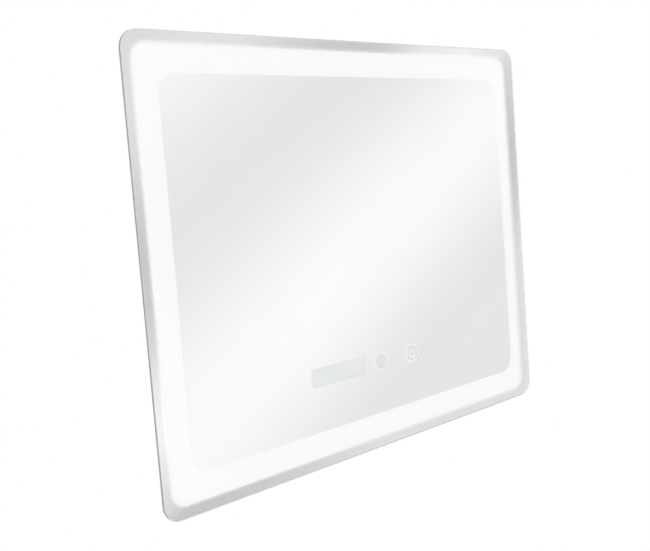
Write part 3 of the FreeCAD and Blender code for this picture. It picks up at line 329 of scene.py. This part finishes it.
def litEdgeGroup():
    tree, given, result = newGroup(
        "lit_edge",
        {"Middle": (0.0, 0.0, 0.0), "Half Width": 0.38, "Half Height": 0.285, "Corner Radius": 0.023,
         "Fade": 0.004, "Fade Right": 0.0074},
        {"Share": "Float"})
    offset = add(tree, "VectorMath", operation="SUBTRACT")
    give(tree, offset.inputs[0], objectPlace(tree))
    give(tree, offset.inputs[1], given["Middle"])
    across = splitPlace(tree, offset.outputs["Vector"])
    beyond = []
    for axis, half in (("X", "Half Width"), ("Z", "Half Height")):
        shortfall = calc(tree, "SUBTRACT", given[half], given["Corner Radius"])
        beyond.append(calc(tree, "SUBTRACT", calc(tree, "ABSOLUTE", across[axis]), shortfall))
    outside = [calc(tree, "POWER", calc(tree, "MAXIMUM", part, 0.0), 2.0) for part in beyond]
    corner = calc(tree, "SQRT", calc(tree, "ADD", *outside))
    inside = calc(tree, "MINIMUM", calc(tree, "MAXIMUM", *beyond), 0.0)
    depth = calc(tree, "SUBTRACT", given["Corner Radius"], calc(tree, "ADD", corner, inside))
    place = splitPlace(tree, objectPlace(tree))
    fade = smooth(tree, place["X"], litEdge["rightFrom"], litEdge["rightTo"], given["Fade"],
                  given["Fade Right"])
    give(tree, result["Share"], smooth(tree, calc(tree, "DIVIDE", depth, fade), -1.0, 1.0))
    return tree


litEdgeMask = litEdgeGroup()


def litShare(tree):
    left, right, top, bottom = (litEdge[side] for side in ("left", "right", "top", "bottom"))
    middle = mirrorMiddle + Vector((left - right, 0.0, bottom - top)) / 2
    return useGroup(tree, litEdgeMask, {
        "Middle": tuple(middle),
        "Half Width": mirrorHalf.x - (left + right) / 2,
        "Half Height": mirrorHalf.z - (top + bottom) / 2,
        "Corner Radius": litEdge["corner"],
        "Fade": litEdge["fade"],
        "Fade Right": litEdge["fadeRight"]})["Share"]


# painted reflection: slanted streaks in the rims, in metres across the streaks: their middle, how far they
# fade to either side, and their tone in the middle and away from it, between deep and pale
rimReflectionStreaks = {
    "upper": {"slant": 37, "middle": 0.095, "below": 0.09, "above": 0.125, "tone": 0.85, "away": 0.31},
    "second": {"slant": 37, "middle": 0.37, "below": 0.11, "above": 0.11, "tone": 0.22, "away": 0.0},
    "lower": {"slant": 30, "middle": -0.065, "below": 0.20, "above": 0.28, "tone": 0.0, "away": 0.80},
}
topReflectionLift = {"from": 0.04, "to": 0.17, "tone": 0.26}     # painted reflection: the top rim is paler towards its right end


def reflectionStreak(tree, name):
    values = rimReflectionStreaks[name]
    across = splitPlace(tree, objectPlace(tree))
    slant = math.radians(values["slant"])
    rise = calc(tree, "MULTIPLY", calc(tree, "SUBTRACT", across["Z"], mirrorMiddle.z), math.cos(slant))
    run = calc(tree, "MULTIPLY", across["X"], math.sin(slant))
    place = calc(tree, "SUBTRACT", rise, run)
    above = calc(tree, "DIVIDE", calc(tree, "SUBTRACT", place, values["middle"]), values["above"])
    below = calc(tree, "DIVIDE", calc(tree, "SUBTRACT", values["middle"], place), values["below"])
    return smooth(tree, calc(tree, "MAXIMUM", above, below), 0.0, 1.0, values["tone"], values["away"])


def rimReflectionGroup():
    tree, given, result = newGroup("rim_painted_reflection", {"Top Lift": 0.26}, {"Tone": "Float"})
    across = splitPlace(tree, objectPlace(tree))
    lift = smooth(tree, across["X"], topReflectionLift["from"], topReflectionLift["to"], 0.0, given["Top Lift"])
    upperReflection = calc(tree, "ADD", reflectionStreak(tree, "upper"), calc(tree, "ADD", reflectionStreak(tree, "second"), lift))
    side = calc(tree, "SUBTRACT",
                calc(tree, "DIVIDE", across["X"], mirrorHalf.x),
                calc(tree, "DIVIDE", calc(tree, "SUBTRACT", across["Z"], mirrorMiddle.z), mirrorHalf.z))
    isLower = smooth(tree, side, -0.06, 0.06)
    keptUpper = calc(tree, "MULTIPLY", upperReflection, calc(tree, "SUBTRACT", 1.0, isLower))
    tone = calc(tree, "ADD", keptUpper, calc(tree, "MULTIPLY", reflectionStreak(tree, "lower"), isLower))
    give(tree, result["Tone"], tone)
    return tree


rimReflectionMap = rimReflectionGroup()


def paintedRimReflection(tree):
    return useGroup(tree, rimReflectionMap, {"Top Lift": topReflectionLift["tone"]})["Tone"]


# painted reflection: the rim silver's colour runs between deep and pale; painted light: its glow
rimValues = {
    "pale": (0.994, 0.988, 0.989),
    "deep": (0.593, 0.586, 0.586),
    "glow": (0.245, 0.247, 0.246),
}


def silverRimFinish():
    material, tree, sockets = startFinish("rim_silver", {"Emission Strength": 1.0})
    coatWithPaint(tree, sockets, blendColours(tree, paintedRimReflection(tree), rimValues["deep"], rimValues["pale"]))
    # painted light: the front of the rim glows where the band's painted glow fades out into it
    isFront = calc(tree, "SUBTRACT", 1.0, useGroup(tree, faceMasks)["Rear Faces"])
    lit = calc(tree, "MULTIPLY", litShare(tree), isFront)
    give(tree, sockets["Emission Color"], blendColours(tree, lit, black, rimValues["glow"]))
    return material


# the opal sheet behind the clear band, lit by the strips round the frame

opalValues = {
    "sheet": (0.34, 0.345, 0.345),
    "cloudy": (0.32, 0.325, 0.325),
    "paintedEdgeLightDeep": (0.380, 0.377, 0.377),   # painted reflection: the dim edge is as pale or dark as the rim's painted reflection beside it
    "paintedEdgeLightPale": (0.605, 0.60, 0.60),
    "glowFull": (0.775, 0.768, 0.77),
    "evenness": 0.985,                   # of the light between one cloud and the next
    "roughness": (0.45, 0.55),
    "grains": 1800.0,
    "clouds": 5.0,
    "depth": 0.00002,
}


def opalFinish():
    material, tree, sockets = startFinish("lit_opal_sheet", {"Emission Strength": 1.0})
    grain = useGroup(tree, fineGrain, {"Grains": opalValues["grains"], "Clouds": opalValues["clouds"]})
    body = blendColours(tree, grain["Tone"], opalValues["cloudy"], opalValues["sheet"])
    give(tree, sockets["Base Color"], body)
    evenness = smooth(tree, grain["Tone"], 0.0, 1.0, opalValues["evenness"], 1.0)
    lit = calc(tree, "MULTIPLY", litShare(tree), evenness)
    # painted reflection and painted light: the dim edge glows with the rim's streaks
    edge = blendColours(tree, paintedRimReflection(tree), opalValues["paintedEdgeLightDeep"], opalValues["paintedEdgeLightPale"])
    give(tree, sockets["Emission Color"], blendColours(tree, lit, edge, opalValues["glowFull"]))
    give(tree, sockets["Roughness"], smooth(tree, grain["Tone"], 0.0, 1.0, *opalValues["roughness"]))
    give(tree, sockets["Normal"], addBump(tree, grain["Height"], opalValues["depth"]))
    return material


# the touch icons: how bright the guide's ring and strokes are, the printed film near the ring and
# the film round the symbol. The power icon is on and brighter than the other one.

iconGlow = {
    "power": {
        "guide": (0.79, 0.792, 0.792), "film": (0.415, 0.417, 0.417), "inner": (0.385, 0.387, 0.387)},
    "defog": {
        "guide": (0.70, 0.702, 0.702), "film": (0.47, 0.472, 0.472), "inner": (0.385, 0.387, 0.387)},
}


def iconOf(nodeName):
    return iconGlow[nodeName.split("_")[0]]


lightGuideValues = {
    "body": (0.42, 0.425, 0.425),
    "cloudy": (0.39, 0.395, 0.395),
    "roughness": 0.5,
    "dimming": 0.94,                     # of the glow between one cloud and the next
    "grains": 2200.0,
    "clouds": 60.0,
    "depth": 0.00002,
}


def lightGuideFinish(nodeName):
    material, tree, sockets = startFinish("lit_" + nodeName, {
        "Roughness": lightGuideValues["roughness"], "Emission Strength": 1.0})
    grain = useGroup(tree, fineGrain, {
        "Grains": lightGuideValues["grains"], "Clouds": lightGuideValues["clouds"]})
    body = blendColours(tree, grain["Tone"], lightGuideValues["cloudy"], lightGuideValues["body"])
    give(tree, sockets["Base Color"], body)
    share = smooth(tree, grain["Tone"], 0.0, 1.0, lightGuideValues["dimming"], 1.0)
    give(tree, sockets["Emission Color"], blendColours(tree, share, black, iconOf(nodeName)["guide"]))
    give(tree, sockets["Normal"], addBump(tree, grain["Height"], lightGuideValues["depth"]))
    return material


filmValues = {
    "deep": (0.56, 0.57, 0.57),
    "pale": (0.62, 0.63, 0.63),
    "roughness": 0.35,
    "dots": 2600.0,
    "dotTone": (0.70, 0.71, 0.71),
    "dotSpread": 0.35,                   # how far the dots' tone comes through
    "dimming": 0.94,
    "grains": 2400.0,
    "clouds": 90.0,
    "depth": 0.00001,
    "outerFrom": 7.0 * millimetre,       # distance from the icon's middle where the outer tone begins
    "outerFull": 10.5 * millimetre,
}


def iconFilmFinish(nodeName):
    material, tree, sockets = startFinish("printed_" + nodeName, {
        "Roughness": filmValues["roughness"], "Emission Strength": 1.0})
    low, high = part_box(nodeName)
    away = add(tree, "VectorMath", operation="DISTANCE")
    give(tree, away.inputs[0], objectPlace(tree))
    give(tree, away.inputs[1], tuple((low + high) / 2))
    outer = smooth(tree, away.outputs["Value"], filmValues["outerFrom"], filmValues["outerFull"])
    grain = useGroup(tree, fineGrain, {"Grains": filmValues["grains"], "Clouds": filmValues["clouds"]})
    dots = add(tree, "TexVoronoi", {"Vector": objectPlace(tree), "Scale": filmValues["dots"]})
    printed = blendColours(tree, grain["Tone"], filmValues["deep"], filmValues["pale"])
    screen = smooth(tree, dots.outputs["Distance"], 0.25, 0.4, filmValues["dotSpread"], 0.0)
    give(tree, sockets["Base Color"], blendColours(tree, screen, printed, filmValues["dotTone"]))
    # painted light: the printed film glows, less brightly round the symbol than near the ring
    glow = blendColours(tree, outer, iconOf(nodeName)["inner"], iconOf(nodeName)["film"])
    share = smooth(tree, grain["Tone"], 0.0, 1.0, filmValues["dimming"], 1.0)
    give(tree, sockets["Emission Color"], blendColours(tree, share, black, glow))
    give(tree, sockets["Normal"], addBump(tree, grain["Height"], filmValues["depth"]))
    return material


# the clock's smoked lens behind its window in the silver; it glows with painted light

lensValues = {
    "deep": (0.66, 0.685, 0.68),
    "pale": (0.70, 0.725, 0.72),
    "roughness": (0.22, 0.3),
    "grains": 1600.0,
    "clouds": 22.0,
    "depth": 0.00001,
    # painted light: the lens glows between these two tones
    "glowDim": (0.385, 0.402, 0.398),
    "glowFull": (0.42, 0.438, 0.433),
    "lap": 3.0 * millimetre,             # of the lens behind the coating, all round its window
    "line": 1.9 * millimetre,            # painted shadow: a darker line inside the lower and right edges of the window
    "shadowLineGlow": (0.335, 0.35, 0.345),
}


def windowShadowLine(tree):
    low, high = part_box("clock_lens")
    across = splitPlace(tree, objectPlace(tree))
    fromRight = calc(tree, "SUBTRACT", high.x - lensValues["lap"], across["X"])
    fromFoot = calc(tree, "SUBTRACT", across["Z"], low.z + lensValues["lap"])
    inset = calc(tree, "MINIMUM", fromRight, fromFoot)
    return smooth(tree, inset, lensValues["line"], 0.5 * lensValues["line"])


def clockLensFinish():
    material, tree, sockets = startFinish("pale_smoked_lens", {"IOR": 1.49, "Emission Strength": 1.0})
    grain = useGroup(tree, fineGrain, {"Grains": lensValues["grains"], "Clouds": lensValues["clouds"]})
    body = blendColours(tree, grain["Tone"], lensValues["deep"], lensValues["pale"])
    give(tree, sockets["Base Color"], body)
    glow = blendColours(tree, grain["Tone"], lensValues["glowDim"], lensValues["glowFull"])
    glow = blendColours(tree, windowShadowLine(tree), glow, lensValues["shadowLineGlow"])
    give(tree, sockets["Emission Color"], glow)
    give(tree, sockets["Roughness"], smooth(tree, grain["Tone"], 0.0, 1.0, *lensValues["roughness"]))
    give(tree, sockets["Normal"], addBump(tree, grain["Height"], lensValues["depth"]))
    return material


# mouldings, paint, rubber, foam and insulation

mouldedFinishes = {
    "white_moulding": {
        "pale": (0.86, 0.86, 0.85), "deep": (0.81, 0.81, 0.795), "worn": (0.92, 0.92, 0.915),
        "grains": 1500.0, "clouds": 18.0, "depth": 0.00003, "rough": (0.36, 0.5), "dust": 0.3,
        "dustTone": (0.58, 0.56, 0.52), "edge": 0.0004},
    "corner_moulding": {
        "pale": (0.63, 0.64, 0.65), "deep": (0.57, 0.58, 0.59), "worn": (0.72, 0.73, 0.74),
        "grains": 1300.0, "clouds": 26.0, "depth": 0.00004, "rough": (0.42, 0.56), "dust": 0.35,
        "dustTone": (0.52, 0.50, 0.47), "edge": 0.0004},
    "box_moulding": {
        "pale": (0.30, 0.31, 0.32), "deep": (0.25, 0.26, 0.27), "worn": (0.42, 0.43, 0.44),
        "grains": 1100.0, "clouds": 24.0, "depth": 0.00005, "rough": (0.42, 0.6), "dust": 0.4,
        "dustTone": (0.46, 0.45, 0.42), "edge": 0.0005},
    "terminal_moulding": {
        "pale": (0.87, 0.87, 0.83), "deep": (0.80, 0.80, 0.75), "worn": (0.93, 0.93, 0.91),
        "grains": 1900.0, "clouds": 60.0, "depth": 0.00002, "rough": (0.22, 0.36), "dust": 0.2,
        "dustTone": (0.55, 0.53, 0.49), "edge": 0.0003},
    "digit_blocks": {
        "pale": (0.80, 0.81, 0.80), "deep": (0.72, 0.73, 0.72), "worn": (0.88, 0.89, 0.88),
        "grains": 2200.0, "clouds": 80.0, "depth": 0.00001, "rough": (0.2, 0.32), "dust": 0.1,
        "dustTone": (0.5, 0.5, 0.48), "edge": 0.0002},
    "components": {
        "pale": (0.17, 0.17, 0.18), "deep": (0.12, 0.12, 0.13), "worn": (0.3, 0.3, 0.31),
        "grains": 1700.0, "clouds": 70.0, "depth": 0.00003, "rough": (0.32, 0.52), "dust": 0.3,
        "dustTone": (0.42, 0.4, 0.37), "edge": 0.0003},
    "panel_paint": {
        "pale": (0.575, 0.585, 0.59), "deep": (0.55, 0.56, 0.566), "worn": (0.42, 0.42, 0.42),
        "grains": 520.0, "clouds": 26.0, "depth": 0.00012, "rough": (0.42, 0.54), "dust": 0.22,
        "dustTone": (0.66, 0.64, 0.60), "edge": 0.0003},
    "rubber": {
        "pale": (0.07, 0.07, 0.07), "deep": (0.045, 0.045, 0.047), "worn": (0.14, 0.14, 0.14),
        "grains": 1000.0, "clouds": 90.0, "depth": 0.00005, "rough": (0.6, 0.78), "dust": 0.5,
        "dustTone": (0.30, 0.29, 0.27), "edge": 0.0005},
    "foam": {
        "pale": (0.89, 0.89, 0.87), "deep": (0.78, 0.78, 0.75), "worn": (0.93, 0.93, 0.92),
        "grains": 420.0, "clouds": 30.0, "depth": 0.00025, "rough": (0.75, 0.92), "dust": 0.3,
        "dustTone": (0.62, 0.6, 0.55), "edge": 0.0006},
    "wire_cover": {
        "pale": (0.88, 0.88, 0.87), "deep": (0.82, 0.82, 0.80), "worn": (0.93, 0.93, 0.93),
        "grains": 1500.0, "clouds": 40.0, "depth": 0.00002, "rough": (0.34, 0.48), "dust": 0.35,
        "dustTone": (0.55, 0.53, 0.5), "edge": 0.0002},
}


def mouldedFinish(slotName):
    values = mouldedFinishes[slotName]
    material, tree, sockets = startFinish(slotName + "_finish", {})
    grain = useGroup(tree, fineGrain, {"Grains": values["grains"], "Clouds": values["clouds"]})
    dust = useGroup(tree, settledDust, {"Amount": values["dust"]})
    edges = useGroup(tree, roundedEdges, {"Radius": values["edge"]})
    colour = blendColours(tree, grain["Tone"], values["deep"], values["pale"])
    colour = blendColours(tree, edges["Worn"], colour, values["worn"])
    give(tree, sockets["Base Color"], blendColours(tree, dust["Dust"], colour, values["dustTone"]))
    low, high = values["rough"]
    gloss = smooth(tree, grain["Tone"], 0.0, 1.0, high, low)
    gloss = calc(tree, "ADD", gloss, calc(tree, "MULTIPLY", dust["Marks"], 0.2))
    give(tree, sockets["Roughness"], calc(tree, "ADD", gloss, calc(tree, "MULTIPLY", dust["Dust"], 0.15)))
    give(tree, sockets["Normal"], addBump(tree, grain["Height"], values["depth"], edges["Normal"]))
    return material


# sheet metal, extrusions, screws and studs

alongX = (5.0, 2400.0, 2400.0)           # drawn lines per metre in x, y and z
alongZ = (2400.0, 2400.0, 5.0)
turned = (1900.0, 1900.0, 1900.0)
metalFinishes = {
    "frame_metal": {
        "pale": (0.79, 0.80, 0.81), "deep": (0.70, 0.71, 0.725), "worn": (0.90, 0.90, 0.90),
        "depth": 0.000012, "rough": (0.30, 0.42), "dust": 0.3, "edge": 0.0003, "lines": alongX},
    "zinc_sheet": {
        "pale": (0.72, 0.73, 0.74), "deep": (0.58, 0.595, 0.61), "worn": (0.84, 0.84, 0.84),
        "depth": 0.00001, "rough": (0.26, 0.44), "dust": 0.35, "edge": 0.0003, "lines": alongX},
    "zinc_screws": {
        "pale": (0.78, 0.78, 0.765), "deep": (0.60, 0.60, 0.585), "worn": (0.88, 0.88, 0.87),
        "depth": 0.000008, "rough": (0.18, 0.34), "dust": 0.3, "edge": 0.0002, "lines": turned},
    "rivets": {
        "pale": (0.76, 0.76, 0.765), "deep": (0.66, 0.66, 0.67), "worn": (0.88, 0.88, 0.88),
        "depth": 0.00001, "rough": (0.28, 0.42), "dust": 0.3, "edge": 0.0003, "lines": turned},
    "case_sheet": {
        "pale": (0.77, 0.78, 0.79), "deep": (0.68, 0.69, 0.705), "worn": (0.86, 0.86, 0.86),
        "depth": 0.00001, "rough": (0.3, 0.45), "dust": 0.4, "edge": 0.0004, "lines": alongX},
    "brass_stud": {
        "pale": (0.80, 0.64, 0.34), "deep": (0.62, 0.47, 0.22), "worn": (0.90, 0.76, 0.46),
        "depth": 0.00001, "rough": (0.2, 0.36), "dust": 0.25, "edge": 0.0002, "lines": turned},
}
metalWear = {
    "dustTone": (0.50, 0.48, 0.45), "dustPatches": 55.0, "clouds": 60.0, "cloudShare": 0.25,
    "marks": 0.25,
}


def metalFinish(slotName, lines=None):
    values = metalFinishes[slotName]
    material, tree, sockets = startFinish(slotName + "_finish", {"Metallic": 1.0})
    drawn = useGroup(tree, drawnLines, {"Stretch": lines or values["lines"]})
    dust = useGroup(tree, settledDust, {"Amount": values["dust"], "Patches": metalWear["dustPatches"]})
    edges = useGroup(tree, roundedEdges, {"Radius": values["edge"]})
    clouds = smooth(tree, noise(tree, objectPlace(tree), metalWear["clouds"], 4.0, 0.6), 0.3, 0.7)
    tone = calc(tree, "ADD", calc(tree, "MULTIPLY", drawn["Streaks"], 1.0 - metalWear["cloudShare"]),
                calc(tree, "MULTIPLY", clouds, metalWear["cloudShare"]))
    colour = blendColours(tree, tone, values["deep"], values["pale"])
    colour = blendColours(tree, edges["Worn"], colour, values["worn"])
    give(tree, sockets["Base Color"], blendColours(tree, dust["Dust"], colour, metalWear["dustTone"]))
    low, high = values["rough"]
    gloss = calc(tree, "ADD", smooth(tree, tone, 0.0, 1.0, high, low),
                 calc(tree, "MULTIPLY", dust["Marks"], metalWear["marks"]))
    give(tree, sockets["Roughness"], gloss)
    give(tree, sockets["Normal"], addBump(tree, drawn["Height"], values["depth"], edges["Normal"]))
    return material


# circuit boards, light strips, chips and the heating film

boardValues = {
    "green_board": {"mask": (0.035, 0.20, 0.09), "trace": (0.06, 0.30, 0.15), "pad": (0.75, 0.74, 0.70)},
    "strip_board": {"mask": (0.90, 0.90, 0.885), "trace": (0.84, 0.84, 0.82), "pad": (0.80, 0.66, 0.40)},
}


trackValues = {
    "scale": 120.0, "gap": 0.06, "blur": 0.3, "length": 1.7, "pitch": 0.35,
    "pads": 190.0, "padSpread": 0.55, "padMetal": 0.9, "depth": 0.00004, "roughness": 0.32,
}


def boardFinish(slotName):
    values = boardValues[slotName]
    material, tree, sockets = startFinish(slotName + "_finish", {"Roughness": trackValues["roughness"]})
    place = objectPlace(tree)
    turnedPlace = add(tree, "Mapping", {"Vector": place, "Rotation": (math.radians(90), 0.0, 0.0)})
    tracks = add(tree, "TexBrick", {
        "Vector": turnedPlace.outputs["Vector"], "Scale": trackValues["scale"],
        "Mortar Size": trackValues["gap"], "Mortar Smooth": trackValues["blur"],
        "Brick Width": trackValues["length"], "Row Height": trackValues["pitch"]})
    pads = add(tree, "TexVoronoi", {
        "Vector": place, "Scale": trackValues["pads"], "Randomness": trackValues["padSpread"]})
    colour = blendColours(tree, tracks.outputs["Fac"], values["mask"], values["trace"])
    dots = smooth(tree, pads.outputs["Distance"], 0.2, 0.17)
    give(tree, sockets["Base Color"], blendColours(tree, dots, colour, values["pad"]))
    give(tree, sockets["Metallic"], calc(tree, "MULTIPLY", dots, trackValues["padMetal"]))
    height = calc(tree, "ADD", tracks.outputs["Fac"], dots)
    give(tree, sockets["Normal"], addBump(tree, height, trackValues["depth"]))
    return material


chipValues = {
    "pale": (0.96, 0.92, 0.66), "deep": (0.90, 0.82, 0.5), "glow": (0.62, 0.62, 0.58),
    "dim": (0.4, 0.4, 0.36), "grains": 3000.0, "clouds": 400.0, "roughness": 0.3,
}


def chipFinish():
    material, tree, sockets = startFinish("lit_chips", {
        "Roughness": chipValues["roughness"], "Emission Strength": 1.0})
    grain = useGroup(tree, fineGrain, {"Grains": chipValues["grains"], "Clouds": chipValues["clouds"]})
    for socketName, low, high in (("Base Color", "deep", "pale"), ("Emission Color", "dim", "glow")):
        colour = blendColours(tree, grain["Tone"], chipValues[low], chipValues[high])
        give(tree, sockets[socketName], colour)
    return material


heatingValues = {
    "film": (0.80, 0.52, 0.22), "deep": (0.68, 0.42, 0.16), "track": (0.86, 0.80, 0.70),
    "pitch": 62.0,                           # tracks per metre
    "trackMetal": 0.8, "depth": 0.00003, "grains": 1800.0, "clouds": 12.0, "roughness": 0.3,
}


def heatingFinish():
    material, tree, sockets = startFinish("heating_film_finish", {"Roughness": heatingValues["roughness"]})
    grain = useGroup(tree, fineGrain, {
        "Grains": heatingValues["grains"], "Clouds": heatingValues["clouds"]})
    across = splitPlace(tree, objectPlace(tree))
    wave = calc(tree, "SINE", calc(tree, "MULTIPLY", across["Z"], heatingValues["pitch"] * math.tau))
    track = smooth(tree, calc(tree, "ABSOLUTE", wave), 0.25, 0.15)
    colour = blendColours(tree, grain["Tone"], heatingValues["deep"], heatingValues["film"])
    give(tree, sockets["Base Color"], blendColours(tree, track, colour, heatingValues["track"]))
    give(tree, sockets["Metallic"], calc(tree, "MULTIPLY", track, heatingValues["trackMetal"]))
    give(tree, sockets["Normal"], addBump(tree, track, heatingValues["depth"]))
    return material


# each finish is made once for its slot, or for its node where the nodes of a slot differ

slotFinishes = {
    "clear_glass": glassFinish, "opal_sheet": opalFinish, "clock_lens": clockLensFinish,
    "led_chips": chipFinish, "heating_film": heatingFinish,
}
coatingFinishes = {"silver_centre": silverCentreFinish, "silver_rim": silverRimFinish}
iconFinishes = {"light_guide": lightGuideFinish, "icon_film": iconFilmFinish}


def makeFinish(slotName):
    if slotName in slotFinishes:
        return slotFinishes[slotName]()
    if slotName in boardValues:
        return boardFinish(slotName)
    if slotName in metalFinishes:
        return metalFinish(slotName)
    return mouldedFinish(slotName)


finishes = {}
uprightFinish = metalFinish("frame_metal", alongZ)
for nodeName, slotName in slotOf.items():
    if nodeName in coatingFinishes:
        material = coatingFinishes[nodeName]()
    elif slotName in iconFinishes:
        material = iconFinishes[slotName](nodeName)
    elif nodeName in ("frame_rail_left", "frame_rail_right"):
        material = uprightFinish
    else:
        if slotName not in finishes:
            finishes[slotName] = makeFinish(slotName)
        material = finishes[slotName]
    nodes[nodeName].material_slots[0].material = material
print("finishes given to", len(slotOf), "nodes")


# the studio: a pale floor, a white surrounding and two wide soft lamps

studioValues = {
    "floorLevel": -1.15, "floorRadius": 1.5, "floorTone": (0.80, 0.80, 0.80), "floorGlow": 0.22,
    "floorFade": (0.72, 0.98),                # shares of the radius between which the floor fades out
    "plainLevel": 0.62,                       # the world's strength for diffuse light
    "streakMiddle": 0.904, "streakDepth": 0.086, "streakPitch": 0.45, "streakStart": 0.636,
    "streakEnd": -0.25,                       # past here the surrounding keeps its darker tone
    "streakRun": -0.4946, "streakRise": 0.8566,
    "rearTop": 1.0, "rearBottom": 0.55,
}


def makeWorld():
    world = bpy.data.worlds.new("studio_world")
    bpy.context.scene.world = world
    world.use_nodes = True
    tree = world.node_tree
    shader = tree.nodes["Background"]
    direction = splitPlace(tree, add(tree, "TexCoord").outputs["Generated"])
    depth = calc(tree, "ABSOLUTE", direction["Y"])
    safeDepth = calc(tree, "MAXIMUM", depth, 0.1)
    run = calc(tree, "MULTIPLY", calc(tree, "DIVIDE", direction["X"], safeDepth),
               studioValues["streakRun"])
    rise = calc(tree, "MULTIPLY", calc(tree, "DIVIDE", direction["Z"], safeDepth),
                studioValues["streakRise"])
    place = calc(tree, "ADD", calc(tree, "ADD", run, rise), studioValues["streakStart"])
    place = calc(tree, "MAXIMUM", place, studioValues["streakEnd"])
    wave = calc(tree, "COSINE", calc(tree, "MULTIPLY", place, math.tau / studioValues["streakPitch"]))
    depthNow = smooth(tree, depth, 0.2, 0.42, 0.0, studioValues["streakDepth"])
    ahead = calc(tree, "ADD", calc(tree, "MULTIPLY", wave, depthNow), studioValues["streakMiddle"])
    behind = smooth(tree, direction["Z"], -0.7, 0.5, studioValues["rearBottom"], studioValues["rearTop"])
    isBehind = smooth(tree, direction["Y"], -0.1, 0.15)
    seen = calc(tree, "ADD", calc(tree, "MULTIPLY", ahead, calc(tree, "SUBTRACT", 1.0, isBehind)),
                calc(tree, "MULTIPLY", behind, isBehind))
    path = add(tree, "LightPath").outputs
    shiny = calc(tree, "MAXIMUM", path["Is Glossy Ray"], path["Is Transmission Ray"])
    level = calc(tree, "ADD", calc(tree, "MULTIPLY", seen, shiny),
                 calc(tree, "MULTIPLY", calc(tree, "SUBTRACT", 1.0, shiny), studioValues["plainLevel"]))
    camera = path["Is Camera Ray"]
    level = calc(tree, "ADD", camera, calc(tree, "MULTIPLY", level, calc(tree, "SUBTRACT", 1.0, camera)))
    give(tree, shader.inputs["Strength"], level)
    give(tree, shader.inputs["Color"], white)


def makeFloor():
    mesh = bpy.data.meshes.new("floor")
    steps = 96
    turns = [math.tau * index / steps for index in range(steps)]
    radius, level = studioValues["floorRadius"], studioValues["floorLevel"]
    corners = [(radius * math.cos(turn), radius * math.sin(turn), level) for turn in turns]
    mesh.from_pydata(corners, [], [tuple(range(steps))])
    floor = bpy.data.objects.new("floor", mesh)
    bpy.context.scene.collection.objects.link(floor)
    material = bpy.data.materials.new("floor_paper")
    material.use_nodes = True
    tree = material.node_tree
    tree.nodes.remove(tree.nodes["Principled BSDF"])
    paper = add(tree, "BsdfDiffuse", {"Color": studioValues["floorTone"]}).outputs["BSDF"]
    lift = add(tree, "Emission", {"Color": white, "Strength": studioValues["floorGlow"]}).outputs[0]
    nothing = add(tree, "BsdfTransparent").outputs[0]
    both = add(tree, "AddShader")
    give(tree, both.inputs[0], paper)
    give(tree, both.inputs[1], lift)
    away = add(tree, "VectorMath", operation="LENGTH")
    give(tree, away.inputs[0], objectPlace(tree))
    near, far = studioValues["floorFade"]
    fade = smooth(tree, away.outputs["Value"], radius * near, radius * far)
    path = add(tree, "LightPath").outputs
    seen = calc(tree, "MAXIMUM", path["Is Camera Ray"],
                calc(tree, "MAXIMUM", path["Is Glossy Ray"], path["Is Transmission Ray"]))
    plain = add(tree, "MixShader", {"Fac": seen})
    give(tree, plain.inputs[1], paper)
    give(tree, plain.inputs[2], both.outputs[0])
    faded = add(tree, "MixShader", {"Fac": fade})
    give(tree, faded.inputs[1], plain.outputs[0])
    give(tree, faded.inputs[2], nothing)
    oneSided = add(tree, "MixShader", {"Fac": add(tree, "NewGeometry").outputs["Backfacing"]})
    give(tree, oneSided.inputs[1], faded.outputs[0])
    give(tree, oneSided.inputs[2], nothing)
    tree.links.new(oneSided.outputs[0], tree.nodes["Material Output"].inputs["Surface"])
    mesh.materials.append(material)


lampValues = {
    "front_lamp": {"position": (-1.6, -2.6, 1.7), "width": 2.4, "power": 62.0},
    "rear_lamp": {"position": (1.5, 2.7, 1.8), "width": 2.4, "power": 62.0},
}


def makeLamps():
    for name, values in lampValues.items():
        data = bpy.data.lights.new(name, "AREA")
        data.shape = "DISK"
        data.size = values["width"]
        data.energy = values["power"]
        lamp = bpy.data.objects.new(name, data)
        bpy.context.scene.collection.objects.link(lamp)
        position = Vector(values["position"])
        aim = (mirrorMiddle - position).to_track_quat("-Z", "Y")
        lamp.matrix_world = Matrix.Translation(position) @ aim.to_matrix().to_4x4()
        lamp.visible_camera = False
        lamp.visible_glossy = False
        lamp.visible_transmission = False


makeWorld()
makeFloor()
makeLamps()
bpy.context.scene.view_settings.view_transform = "Standard"
print("studio lit")
